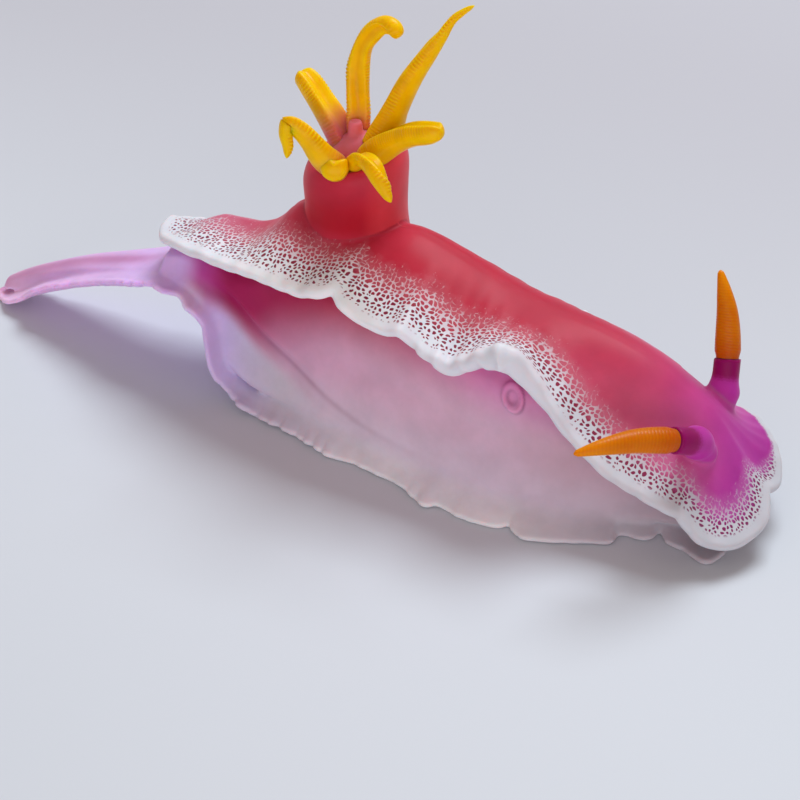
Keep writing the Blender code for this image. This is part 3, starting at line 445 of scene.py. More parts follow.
def foot_wave(half):
    """Waves of the foot's edge, outward and upward: pointed ones, slow ones and a finer set."""
    turn = whole_turn(2 * half)
    wave = 2 * np.abs(np.sin(swing(turn, *FOOT_WAVES))) - 1
    wave = wave * (0.65 + 0.35 * np.sin(turn * 7 + 1))
    slow = np.sin(turn * 11 + 0.6)
    fine = 2 * np.abs(np.sin(swing(turn, *FOOT_FINE))) - 1
    fine = fine * (0.2 + 0.8 * np.sin(turn * 17 + 2))
    out = SCALLOP_OUT * (wave + 0.6 * slow + 0.6 * fine)
    return out, SCALLOP_UP * ((0.5 + 0.5 * wave) * (0.6 + 0.4 * slow) + 0.35 * np.maximum(fine, 0))


def foot_rings(half, shares):
    """Rings of the foot: sole from the middle out, the rim, then the upper face back in."""
    edge = edge_loop(FOOT_RIGHT, FOOT_LEFT, half)
    mid_x = middle_line(edge, *FOOT_MIDDLE)
    middle = np.stack((mid_x, np.zeros_like(mid_x)), axis=1)
    out_by, up_by = foot_wave(half)
    run = unit(np.roll(edge, -1, axis=0) - np.roll(edge, 1, axis=0))
    side = np.stack((run[:, 1], -run[:, 0]), axis=1)
    side = side * np.sign(np.sum(side * (edge - middle), axis=1))[:, None]
    calm = np.clip(np.abs(edge[:, 1]) / CALM_WIDTH, 0, 1)
    drawn = np.clip((edge[:, 0] - DRAWN_FROM) / 4, 0, 1) * (edge[:, 1] < 0)
    calm = calm * (1 - DRAWN_CALM * drawn)
    edge = edge + side * (out_by * calm)[:, None]
    r = np.array(shares)[:, None]
    x, y = inward(edge, middle, r)
    lift = up_by * calm * np.clip((r - 0.8) / 0.2, 0, 1) ** 2
    sole = np.stack((x, y, steps(SOLE, x) + lift + steps(TURN_UP, x) * r ** 2 * (y < 0)), axis=2)
    n = leaf_normals(sole)
    thick = FOOT_RIM + (FOOT_THICK - FOOT_RIM) * (1 - r ** 2.5)
    thick = FOOT_RIM + (thick - FOOT_RIM) * steps(FOOT_SWELL, x)
    upper = sole + n * thick[..., None]
    out = np.concatenate((side, np.zeros((2 * half, 1))), axis=1)
    rim = rolled_rim(sole[-1], upper[-1], out, FOOT_RIM * FOOT_BULGE, 7)
    return list(sole) + rim + list(upper[::-1])


def trunk_rings(xs, shares):
    """Cross sections of the trunk, one for each x, with the groove pressed in along the flank."""
    low = steps(SOLE, xs) + TRUNK_FROM_SOLE
    back = np.where(xs < TAIL_TOP[-1][0], steps(TAIL_TOP, xs), steps(RIDGE, xs) - TRUNK_UNDER_BACK)
    back = np.where(xs > HEAD_TOP[0][0], steps(HEAD_TOP, xs), back)
    level, depth = steps(GROOVE, xs).T
    row = np.clip((level - low) / (back - low), 0.12, 0.5)
    half, spine = steps(TRUNK, xs), steps(SPINE, xs)
    rings = []
    for k, x in enumerate(xs):
        h = np.interp(shares, (0.0, GROOVE_ROW, 1.0), (0.0, row[k], 1.0))
        z = low[k] + (back[k] - low[k]) * h
        width = half[k] * steps(SECTION, h) - depth[k] * np.exp(-((z - level[k]) / GROOVE_WIDTH) ** 2)
        right, left = (np.stack((np.full(len(h), x), spine[k] * h + w, z), axis=1) for w in (-width, width))
        rings.append(np.vstack((right, left[-2:0:-1])))
    return rings


def frames(path):
    """Two directions across a path at each of its points, carried along without twist."""
    run = unit(np.gradient(path, axis=0))
    side = np.cross(run[0], (0.0, 0.0, 1.0))
    if np.linalg.norm(side) < 0.2:
        side = np.cross(run[0], (1.0, 0.0, 0.0))
    sides = []
    for r in run:
        side = unit(side - r * np.dot(side, r))
        sides.append(side)
    sides = np.array(sides)
    return run, sides, np.cross(run, sides)


def tube_rings(path, section, sizes, facing=None):
    """Rings of a sweep: section as pairs across the path, one size for each point."""
    run, a, b = frames(path)
    if facing is not None:
        b = np.array(facing) - path
        b = unit(b - run * np.sum(b * run, axis=1, keepdims=True))
        a = np.cross(b, run)
    sec = np.asarray(section)
    if sec.ndim == 2:
        sec = np.repeat(sec[None], len(path), axis=0)
    size = np.asarray(sizes)[:, None, None]
    return list(path[:, None] + size * (sec[..., :1] * a[:, None] + sec[..., 1:] * b[:, None]))


def circle(count):
    """Points of a unit circle."""
    t = whole_turn(count)
    return np.stack((np.cos(t), np.sin(t)), axis=1)


def ring_quads(rings, count):
    """Quads between rings of count points, as rows of four indices."""
    k = np.arange(rings - 1)[:, None] * count
    i = np.arange(count)[None]
    j = (i + 1) % count
    return np.stack((k + i, k + j, k + count + j, k + count + i), axis=2).reshape(-1, 4)


def surface(rings, ends):
    """Vertices and faces of rings joined in turn. Ends are closed by a ladder or by a point."""
    count = len(rings[0])
    verts = np.vstack(rings)
    faces = ring_quads(len(rings), count).tolist()
    for first in (0, (len(rings) - 1) * count):
        if ends == "ladder":
            half = count // 2
            faces.append((first, first + 1, first + count - 1))
            for n in range(1, half - 1):
                faces.append((first + n, first + n + 1, first + count - n - 1, first + count - n))
            faces.append((first + half - 1, first + half, first + half + 1))
        else:
            middle = verts[first:first + count].mean(axis=0)
            verts = np.vstack((verts, middle))
            for n in range(count):
                faces.append((first + n, first + (n + 1) % count, len(verts) - 1))
    return verts, faces


def placed(name, data):
    """A new object of the given data in the scene."""
    obj = bpy.data.objects.new(name, data)
    bpy.context.scene.collection.objects.link(obj)
    return obj


def body(name, rings, ends="ladder", scale=1.0):
    """A closed mesh object of the given rings, in millimetres unless scaled."""
    verts, faces = surface(rings, ends)
    mesh = bpy.data.meshes.new(name)
    mesh.from_pydata((verts * scale).tolist(), [], faces)
    bm = bmesh.new()
    bm.from_mesh(mesh)
    bmesh.ops.recalc_face_normals(bm, faces=bm.faces)
    bm.to_mesh(mesh)
    bm.free()
    for poly in mesh.polygons:
        poly.use_smooth = True
    return placed(name, mesh)


def turned_rings(foot, profile, around, slant=(0.0, 0.0), top=1.0):
    """Rings of a solid of revolution about an upright axis, its upper end cut on the slant."""
    rings = []
    for radius, height in profile:
        level = np.full((around, 1), height)
        ring = np.array(foot) + np.concatenate((circle(around) * radius, level), axis=1)
        off = ring[:, :2] - np.array(foot)[:2]
        ring[:, 2] += off @ np.array(slant) * np.clip(height / top, 0, 1)
        rings.append(ring)
    return rings


def oval_rings(place, profile, around, across, up, out):
    """Rings of an oval knob: two half widths as vectors, and the way out."""
    rings = []
    for radius, height in profile:
        spot = circle(around) * radius
        ring = spot[:, :1] * np.array(across) + spot[:, 1:] * np.array(up)
        rings.append(np.array(place) + ring + np.array(out) * height)
    return rings


def read_mesh(mesh):
    """Vertices and quads of a mesh as arrays."""
    verts = np.empty(len(mesh.vertices) * 3, np.float32)
    mesh.vertices.foreach_get("co", verts)
    quads = np.empty(len(mesh.loops), np.int32)
    mesh.loops.foreach_get("vertex_index", quads)
    return verts.reshape(-1, 3).astype(float), quads.reshape(-1, 4)


def neighbours(count, quads):
    """For each vertex its neighbours along edges, short rows filled with the vertex itself."""
    a = quads.ravel()
    b = np.roll(quads, -1, axis=1).ravel()
    order = np.argsort(a, kind="stable")
    a, b = a[order], b[order]
    degree = np.bincount(a, minlength=count)
    start = np.concatenate(([0], np.cumsum(degree)[:-1]))
    links = np.repeat(np.arange(count)[:, None], degree.max(), axis=1)
    links[a, np.arange(len(a)) - start[a]] = b
    return links, degree


def pull(verts, links, degree, rows):
    """Way from each chosen vertex to the middle of its neighbours."""
    near = links[rows]
    own = verts[rows]
    fill = (near.shape[1] - degree[rows])[:, None]
    total = verts[near].sum(axis=1) - own * fill
    return total / degree[rows][:, None] - own


def vertex_normals(verts, quads):
    """Outward normals of the vertices."""
    across = np.cross(verts[quads[:, 2]] - verts[quads[:, 0]], verts[quads[:, 3]] - verts[quads[:, 1]])
    total = np.zeros_like(verts)
    for k in range(3):
        for corner in range(4):
            total[:, k] += np.bincount(quads[:, corner], across[:, k], minlength=len(verts))
    return unit(total)


def smooth(verts, links, degree, rounds):
    """Even out small steps; each step in is followed by a slightly longer one out, against shrinking."""
    rows = np.arange(len(verts))
    for share in (SMOOTH_IN, SMOOTH_OUT) * rounds:
        verts = verts + share * pull(verts, links, degree, rows)
    return verts


def fill_creases(verts, quads, links, degree, weight, rounds):
    """Round off hollow creases where weight is above zero; ridges keep their shape."""
    rows = np.flatnonzero(weight > 0.01)
    share = weight[rows, None]
    for k in range(rounds):
        if k % 12 == 0:
            normal = vertex_normals(verts, quads)[rows]
        way = pull(verts, links, degree, rows)
        lift = np.maximum(np.sum(way * normal, axis=1, keepdims=True), 0.0)
        slide = way - normal * np.sum(way * normal, axis=1, keepdims=True)
        verts[rows] += share * (CREASE_LIFT * lift * normal + CREASE_SLIDE * slide)
    return verts


def nearest(tree, verts, rows, reach):
    """Nearest point of a tree for chosen vertices: face, place and distance, face -1 where none."""
    face = np.full(len(verts), -1)
    place = np.zeros((len(verts), 3))
    away = np.full(len(verts), reach)
    for i in rows:
        spot, _, index, distance = tree.find_nearest(verts[i], reach)
        if index is not None:
            face[i] = index
            place[i] = spot
            away[i] = distance
    return face, place, away


def carried(values, tris, grid, face, place):
    """Values of a surface's points at places on its triangles."""
    a, b, c = (grid[tris[face, k]] for k in range(3))
    n = np.cross(b - a, c - a)
    area = np.maximum(np.sum(n * n, axis=1), 1e-12)
    wa = np.sum(np.cross(b - place, c - place) * n, axis=1) / area
    wb = np.sum(np.cross(c - place, a - place) * n, axis=1) / area
    weights = np.clip(np.stack((wa, wb, 1 - wa - wb), axis=1), 0, 1)
    weights = weights / weights.sum(axis=1, keepdims=True)
    return np.einsum("nk,nkc->nc", weights, values[tris[face]])


# Masters of the skin: closed bodies that overlap and are fused
def skin_masters():
    """Mantle, trunk, foot, sheath, papilla, pore, stalks, tentacles and lips."""
    xs = np.concatenate([np.linspace(*part) for part in TRUNK_STATIONS])
    sheath_rings = turned_rings(SHEATH_FOOT, bend(SHEATH_PROFILE, 60), 120, SHEATH_SLANT, SLANT_FULL)
    made = [body("mantle", mantle_rings(MANTLE_HALF, np.linspace(0.04, 1.0, 44) ** 0.9)),
            body("trunk", trunk_rings(xs, np.linspace(0, 1, 60))),
            body("foot", foot_rings(FOOT_HALF, np.linspace(0.06, 1.0, 34))),
            body("sheath", sheath_rings, "point"),
            body("papilla", turned_rings(PAPILLA, bend(PAPILLA_PROFILE, 24), 40), "point")]
    pore = oval_rings(PORE, bend(PORE_PROFILE, 24), 48, PORE_SIZE[0] * PORE_ALONG, PORE_SIZE[2] * PORE_UP,
                      2 * PORE_SIZE[1] * PORE_OUT)
    made.append(body("pore", pore, "point"))
    for side, _, path in RHINOPHORES:
        line = bend(path, STEM_STEPS)[:int(STALK_SHARE * STEM_STEPS) - 2]
        t = np.linspace(0, 1, len(line))
        sizes = STALK_RADIUS + COLLAR_SWELL * np.exp(-((t - COLLAR_AT) / COLLAR_WIDTH) ** 2)
        made.append(body("stalk_" + side, tube_rings(line[::2], circle(48), sizes[::2]), "point"))
    for side, path in TENTACLES:
        line = bend(path, 40)
        t = np.linspace(0, 1, 41)
        sizes = TENTACLE_RADIUS * np.sqrt(np.clip(1.02 - t ** 4, 0.02, 1))
        made.append(body("tentacle_" + side, tube_rings(line, circle(32), sizes), "point"))
    lips = oval_rings(MOUTH, bend(LIP_PROFILE, 24), 48, (0, LIP_SIZE[0], 0), (0, 0, LIP_SIZE[1]), (1, 0, 0))
    made.append(body("lips", lips, "point"))
    return made


def fused(objects, voxel):
    """One mesh over all the given closed bodies, as arrays of vertices and quads."""
    for obj in bpy.context.selected_objects:
        obj.select_set(False)
    with bpy.context.temp_override(active_object=objects[0], selected_editable_objects=objects,
                                   selected_objects=objects, object=objects[0]):
        bpy.ops.object.join()
    whole = objects[0]
    mod = whole.modifiers.new("fuse", "REMESH")
    mod.mode = "VOXEL"
    mod.voxel_size = voxel
    mesh = bpy.data.meshes.new_from_object(whole.evaluated_get(bpy.context.evaluated_depsgraph_get()))
    bpy.data.objects.remove(whole, do_unlink=True)
    verts, quads = read_mesh(mesh)
    bpy.data.meshes.remove(mesh)
    return verts, quads


skin_verts, skin_quads = fused(skin_masters(), VOXEL)
links, degree = neighbours(len(skin_verts), skin_quads)
skin_verts = smooth(skin_verts, links, degree, 4)

# Creases are rounded more where flank runs into foot, less at the rear where a groove stays
x, y, z = skin_verts.T
from_axis = np.hypot(x - SHEATH_FOOT[0], y - SHEATH_FOOT[1])
above_sole = z - steps(SOLE, x)
height = above_sole / np.maximum(steps(RIDGE, x) - steps(SOLE, x), 1.0)
clear_of_sole = ease(0.6, 1.2, above_sole)
low_flank = ease(0.5, 0.3, height) * ease(-9.0, 4.0, x) * clear_of_sole
by_sheath = ease(5.6, 4.6, from_axis) * ease(11.0, 12.0, z)
by_sheath = by_sheath * ease(15.5, 14.5, z) * ease(-8.6, -7.2, x)
everywhere = 0.3 * (1 - by_sheath) * clear_of_sole
for weight, rounds in ((low_flank, FLANK_ROUNDS), (everywhere, CREASE_ROUNDS)):
    rounds = int(rounds * (FINE_VOXEL / VOXEL) ** 2)
    skin_verts = fill_creases(skin_verts, skin_quads, links, degree, weight, rounds)
skin_verts = smooth(skin_verts, links, degree, 3)
x, y, z = skin_verts.T

# Where each point lies on the mantle: distance from the edge, and a flat unrolled place for the lace
top, edge, middle, *_ = mantle_top(MANTLE_HALF, np.linspace(0.03, 1.0, 60))
step_out = np.linalg.norm(np.diff(top, axis=0), axis=2)
from_middle = np.concatenate((np.zeros((1, step_out.shape[1])), np.cumsum(step_out, axis=0)))
from_edge = from_middle[-1] - from_middle
outward = unit(edge[:, :2] - middle)
flat = middle[None] + outward[None] * from_middle[..., None]
grid = top.reshape(-1, 3)
quads = ring_quads(*top.shape[:2])
top_tris = np.vstack((quads[:, [0, 1, 2]], quads[:, [0, 2, 3]]))
tree = BVHTree.FromPolygons(grid.tolist(), top_tris.tolist())
face, place, away = nearest(tree, skin_verts, np.flatnonzero(z > LACE_FLOOR), LACE_REACH)
found = face >= 0
values = np.concatenate((from_edge[..., None], flat), axis=2).reshape(-1, 3)
got = np.zeros((len(skin_verts), 3))
got[:, 0] = FAR_FROM_RIM
got[found] = carried(values, top_tris, grid, face[found], place[found])
from_rim, lace_place = got[:, 0], got[:, 1:3]

# Regions, each 0 to 1, with the millimetres between which each fades
normals = vertex_normals(skin_verts, skin_quads)
on_top = ease(0.42, 0.16, away)
from_axis = np.hypot(x - SHEATH_FOOT[0], y - SHEATH_FOOT[1])
near_sheath = ease(4.2, 3.8, from_axis) * ease(11.4, 11.9, z)
sheath = ease(0.1, 0.24, away) * near_sheath
inside = ease(2.7, 2.3, from_axis) * ease(15.8, 16.3, z)
far_head = ease(-2.0, 2.5, y) * ease(14.0, 17.0, x)
down_rim = away * RIM_THICK / (RIM_THICK + steps(CURL, x) * (y < CURL_Y))
white_rim = ease(0.6, 0.3, from_rim + 0.6 * np.maximum(down_rim - 0.1, 0.0) + 0.2 * far_head)
white_rim = white_rim * ease(1.15, 0.8, down_rim)


def srgb(code):
    """Linear colour of a hex code."""
    c = np.array([int(code[k:k + 2], 16) / 255 for k in (0, 2, 4)])
    return np.where(c <= 0.04045, c / 12.92, ((c + 0.055) / 1.055) ** 2.4)


def along(stations, x):
    """Colour read along x from stations of x and hex code."""
    return steps([(at, *srgb(code)) for at, code in stations], x)


def mixed(a, b, share):
    """Colours a and b mixed by share."""
    return a * (1 - share[:, None]) + b * share[:, None]


# Colours along the body: x, hex code. First the back, then the flank from its top down, tail, foot
BACK_TINT = (
    (-19, "cc6a88"), (-14, "c85474"), (-10, "c43c54"), (0, "c22842"), (9, "c02c48"), (13, "c43454"),
    (16, "c4406c"), (18.5, "c4448c"), (21, "b83c9c"), (24, "a42c90"))
# Just under the mantle: the flank's own colour, deepened by painted shade under the overhang
UNDER_MANTLE_AND_SHADE = (
    (-16, "c878b8"), (-14.4, "bc4c9c"), (-12.5, "ac2060"), (-3, "bc3454"), (8, "dc90c0"), (20, "a87484"))
FLANK_MIDDLE = ((-14, "cc7cac"), (-3, "deb0cc"), (7, "dab8ce"), (13, "caa8b8"), (20, "b09aa8"))
FLANK_LOW = ((-14, "e0bce0"), (-3, "dcccde"), (8, "dacadc"), (20, "ac9ca6"))
TAIL_TINT = (
    (-33, "f4ccf0"), (-26, "e8bcf0"), (-18, "e2bef8"), (-13.5, "dcc4f6"), (-11, "d4c8e6"),
    (-8, "d6ccdc"))
FOOT_EDGE = ((-14, "ece2f4"), (2, "f0ecf2"), (9, "eeeaee"), (15, "cac4ce"), (22, "bcb6c0"))

# Colours of single places; painted light: near side of the head, sheath top and sides; painted shade: sheath
# crease
TAIL_RIDGE = srgb("b4568c")
NEAR_HEAD_LIGHT = srgb("e47ca0")
SHEATH = srgb("b8142a")
SHEATH_TOP = srgb("c83450")
SHEATH_SIDE_LIGHT = srgb("dc4450")
SHEATH_CREASE_SHADE = srgb("78081a")
DOME = srgb("e4788c")
STALK = srgb("90005c")
COLLAR = srgb("b8309c")
PORE_LINES = srgb("6c3454")
FLANK_GROOVE_SHADE = srgb("8a4870")

# Flank, from under the mantle (there partly painted shade) down to the foot's edge, and the lilac tail
# behind the groove
from_sole = z - steps(SOLE, x)
share_up = np.clip(from_sole / np.maximum(0.86 * steps(RIDGE, x) - steps(SOLE, x), 1.0), 0, 1)
rearward = ease(-3.0, -12.0, x)
up_flank = ease(0, 1, (share_up - 0.5 + 0.3 * rearward) / (0.38 + 0.08 * rearward))
flank = mixed(along(FLANK_LOW, x), along(FLANK_MIDDLE, x), ease(0.1, 0.5, share_up))
flank = mixed(flank, along(UNDER_MANTLE_AND_SHADE, x), up_flank)
flank = mixed(flank, along(FOOT_EDGE, x), 0.85 * ease(1.6, 0.3, from_sole))
ridge = np.exp(-(y / 0.7) ** 2) * ease(0.0, 0.8, normals[:, 2]) * ease(-16.0, -22.0, x)
tail = mixed(along(TAIL_TINT, x), TAIL_RIDGE, 0.6 * ridge)
groove_level, groove_depth = steps(GROOVE, x).T
below_groove = ease(-0.1, -1.5, z - groove_level) * ease(-2.0, -8.0, x)
tint = mixed(flank, tail, np.maximum(below_groove, ease(-14.5, -16.5, x) * ease(9.0, 8.0, z)))

# Back with painted light on the head's near side; gill sheath with painted shade in its crease, painted
# light at its top and sides
# Painted light: the near side of the head is lightened toward pink
near_head_light = ease(-0.5, -3.5, y) * ease(9.0, 13.0, x) * ease(22.0, 19.5, x)
tint = mixed(tint, mixed(along(BACK_TINT, x), NEAR_HEAD_LIGHT, 0.3 * near_head_light), on_top)
crease_shade = np.exp(-((away - 0.14) / 0.08) ** 2) * near_sheath
tint = mixed(tint, SHEATH_CREASE_SHADE, 0.35 * crease_shade * ease(14.0, 13.4, z))
sheath_red_and_light = mixed(SHEATH, SHEATH_TOP, ease(14.0, 17.2, z) + 0.6 * ease(13.4, 12.4, z))
side_on = np.abs(x - SHEATH_FOOT[0]) / np.maximum(from_axis, 0.1)
sheath_red_and_light = mixed(sheath_red_and_light, SHEATH_SIDE_LIGHT, 0.85 * ease(0.5, 0.9, side_on))
tint = mixed(mixed(tint, sheath_red_and_light, sheath), DOME, inside)

# Dark broken rings of the genital pore
off = skin_verts - np.array(PORE)
across_pore, up_pore = off @ PORE_ALONG / PORE_SIZE[0], off @ PORE_UP / PORE_SIZE[2]
by_pore, turn = np.hypot(across_pore, up_pore), np.arctan2(up_pore, across_pore)
lines = 0.0
for radius, width, strength, even, phase in PORE_RINGS:
    broken = np.clip(even + (1 - even) * np.cos(turn + phase), 0, 1)
    lines = lines + strength * np.exp(-((by_pore - radius) / width) ** 2) * broken
close = ease(1.6, 0.8, np.linalg.norm(off, axis=1)) * (1 - on_top)
tint = mixed(tint, PORE_LINES, 0.5 * np.clip(lines, 0, 1) * close)

# Painted shade: a dark line along the groove above the foot
flank_groove_shade = np.exp(-((z - groove_level) / 0.2) ** 2) * groove_depth / 0.4
tint = mixed(tint, FLANK_GROOVE_SHADE, 0.35 * flank_groove_shade * ease(0.3, 0.6, away) * ease(2.0, 3.0, np.abs(y)))

# Purple collars and stalks of the rhinophores
head_rows = np.flatnonzero((x > 13.0) & (z > 4.0))
for _, _, path in RHINOPHORES:
    line = bend(path, 60)
    stem = np.linalg.norm(skin_verts[head_rows, None] - line[None], axis=2)
    near_stem = ease(1.6, 1.1, stem.min(axis=1)) * ease(0.15, 0.5, away[head_rows])
    stem_tint = mixed(COLLAR, STALK, ease(0.24, 0.3, np.argmin(stem, axis=1) / 60))
    tint[head_rows] = mixed(tint[head_rows], stem_tint, near_stem)

# Lace: spacing of its cells, and along the body its whiteness, solid edge and width
LACE_PITCH = 0.31
# The whiteness is raised beside the gill sheath: painted light against the sheath's cast shadow
WHITENESS_AND_LIGHT = (
    (-19, 0.74), (-12, 0.82), (-8, 0.88), (-2, 0.88), (4, 0.78), (12, 0.73), (18, 0.64), (24, 0.56))
SOLID_WIDTH = ((-19, 0.15), (-12, 0.06), (10, 0.08), (15, 0.3), (24, 0.3))
BAND_WIDTH = (
    (-19, 3.9), (-12, 4.1), (-5, 3.7), (2, 4), (6, 4), (10, 3.5), (15, 3.1), (18, 3), (21, 2.7),
    (24, 2.1))
band = from_rim / (steps(BAND_WIDTH, x) * (1 - 0.85 * far_head))


def add_object(name, verts, faces):
    """A smooth mesh object from arrays in millimetres."""
    mesh = bpy.data.meshes.new(name)
    mesh.vertices.add(len(verts))
    mesh.vertices.foreach_set("co", (verts * MM).astype(np.float32).ravel())
    mesh.loops.add(faces.size)
    mesh.loops.foreach_set("vertex_index", faces.astype(np.int32).ravel())
    mesh.polygons.add(len(faces))
    mesh.polygons.foreach_set("loop_start", np.arange(0, faces.size, faces.shape[1], dtype=np.int32))
    mesh.polygons.foreach_set("use_smooth", np.ones(len(faces), dtype=bool))
    mesh.update(calc_edges=True)
    return placed(name, mesh)


def set_values(obj, name, kind, values):
    """Store one value for each vertex."""
    layer = obj.data.attributes.new(name, kind, "POINT")
    key = {"FLOAT": "value", "FLOAT_COLOR": "color"}.get(kind, "vector")
    layer.data.foreach_set(key, np.ascontiguousarray(values, dtype=np.float32).ravel())


skin = add_object("skin", skin_verts, skin_quads)
set_values(skin, "tint", "FLOAT_COLOR", np.insert(tint, 3, 1.0, axis=1))
set_values(skin, "lace", "FLOAT_VECTOR", np.insert(lace_place, 2, 0.0, axis=1))
for name, values in (("band", band), ("solid", from_rim / steps(SOLID_WIDTH, x)), ("rim", white_rim),
                     ("on_top", on_top * (1 - sheath)), ("white", steps(WHITENESS_AND_LIGHT, x))):
    set_values(skin, name, "FLOAT", values)


# Shader colours, linear: painted shade in the lace holes, halo round the net, white of the net, gills and
# clubs with painted shade
HOLE_SHADE = (0.17, 0.012, 0.05, 1)
HALO_COLOUR = (0.80, 0.70, 0.80, 1)
WHITE_HUE = (1.0, 1.0, 1.09)
STRAND_BLUR = 0.07
GILL_COLOUR = (0.95, 0.57, 0.0, 1)
GILL_ROOT = (0.72, 0.16, 0.2, 1)
GILL_EDGE_SHADE = (0.70, 0.31, 0.0, 1)
CLUB_ROOT = (0.54, 0.10, 0.0, 1)
CLUB_MIDDLE = (0.66, 0.18, 0.0, 1)
CLUB_TIP = (0.76, 0.26, 0.0, 1)
CLUB_FOLD_SHADE = (0.42, 0.07, 0.0, 1)
FLOOR_COLOURS = ((0.64, 0.68, 0.74, 1), (0.70, 0.72, 0.78, 1))
FLOOR_FAR_SHADE = (0.53, 0.52, 0.57, 1)


def nodes_of(name):
    """A new material, its node tree and its Principled shader."""
    mat = bpy.data.materials.new(name)
    mat.use_nodes = True
    tree = mat.node_tree
    return mat, tree, tree.nodes["Principled BSDF"]


def feed(tree, socket, value):
    """A link into a socket, or a plain value set on it."""
    if isinstance(value, bpy.types.NodeSocket):
        tree.links.new(value, socket)
    else:
        socket.default_value = value


def node(tree, kind, settings=None, **inputs):
    """A node with settings, its inputs given by name with spaces as underscores, or by number."""
    made = tree.nodes.new(kind)
    for key, value in (settings or {}).items():
        setattr(made, key, value)
    for key, value in inputs.items():
        numbered = key[0] == "i" and key[1:].isdigit()
        feed(tree, made.inputs[int(key[1:]) if numbered else key.replace("_", " ")], value)
    return made


def math(tree, how, a, b=0.0, c=0.0):
    """One sum of two or three values."""
    return node(tree, "ShaderNodeMath", {"operation": how}, i0=a, i1=b, i2=c).outputs[0]


def product(tree, first, *others):
    """Values multiplied in turn."""
    for other in others:
        first = math(tree, "MULTIPLY", first, other)
    return first


def vector_math(tree, how, a, **inputs):
    """One sum of vectors."""
    return node(tree, "ShaderNodeVectorMath", {"operation": how}, i0=a, **inputs).outputs[0]


def ramp(tree, value, low, high, out_low=0.0, out_high=1.0, how="SMOOTHSTEP"):
    """A value eased between two limits."""
    made = node(tree, "ShaderNodeMapRange", {"interpolation_type": how}, Value=value,
                From_Min=low, From_Max=high, To_Min=out_low, To_Max=out_high)
    return made.outputs[0]


def blend_colours(tree, share, a, b, how="MIX"):
    """Two colours mixed by share."""
    made = node(tree, "ShaderNodeMix", {"data_type": "RGBA", "blend_type": how}, i0=share, i6=a, i7=b)
    return made.outputs[2]


def attribute(tree, name, out="Fac"):
    """A stored value of the mesh."""
    return node(tree, "ShaderNodeAttribute", {"attribute_name": name}).outputs[out]


def object_place(tree):
    """Coordinates of the object, in metres."""
    return node(tree, "ShaderNodeTexCoord").outputs["Object"]


def noise(tree, where, scale, detail, out="Fac", over="3D", **more):
    """Smooth noise over the object, or in 2D over the unrolled mantle."""
    made = node(tree, "ShaderNodeTexNoise", {"noise_dimensions": over}, Vector=where, Scale=scale,
                Detail=detail, **more)
    return made.outputs[out]


def flesh(bsdf, depth, red, green, blue, rough):
    """Wet translucent flesh."""
    for name, value in (("Subsurface Weight", 0.85), ("Subsurface Radius", (red, green, blue)),
                        ("Subsurface Scale", depth), ("Roughness", rough), ("Specular IOR Level", 0.12)):
        bsdf.inputs[name].default_value = value


def surfaced(tree, bsdf, colour, relief, strength, height):
    """Colour and fine relief linked to the shader."""
    tree.links.new(colour, bsdf.inputs["Base Color"])
    bump = node(tree, "ShaderNodeBump", Height=relief, Strength=strength, Distance=height)
    tree.links.new(bump.outputs[0], bsdf.inputs["Normal"])


def lace_strands(tree, place_at, band_at, depth, uneven):
    """White net: 1 on the strands between the cells, whose holes widen away from the rim."""
    wobble = noise(tree, place_at, 1.3, 2.0, "Color", "2D")
    wobble = vector_math(tree, "SUBTRACT", wobble, i1=(0.5, 0.5, 0.5))
    bent = vector_math(tree, "ADD", place_at, i1=vector_math(tree, "SCALE", wobble, Scale=0.4))
    cell = {"Vector": bent, "Scale": 1 / LACE_PITCH, "Randomness": 0.8}
    first, second = (node(tree, "ShaderNodeTexVoronoi", {"voronoi_dimensions": "2D", "feature": which},
                          **cell).outputs["Distance"] for which in ("F1", "F2"))
    ratio = math(tree, "DIVIDE", first, second)
    hole = math(tree, "ADD", ramp(tree, band_at, 0.0, 0.3, 0.26, 0.47, "LINEAR"),
                ramp(tree, depth, 0.3, 1.05, 0.0, 0.32, "LINEAR"))
    low, high = (math(tree, how, hole, STRAND_BLUR) for how in ("SUBTRACT", "ADD"))
    strand = ramp(tree, ratio, low, high)
    solid_at = math(tree, "MULTIPLY_ADD", uneven, 3.0, attribute(tree, "solid"))
    return math(tree, "MAXIMUM", strand, ramp(tree, solid_at, 1.2, 0.7))


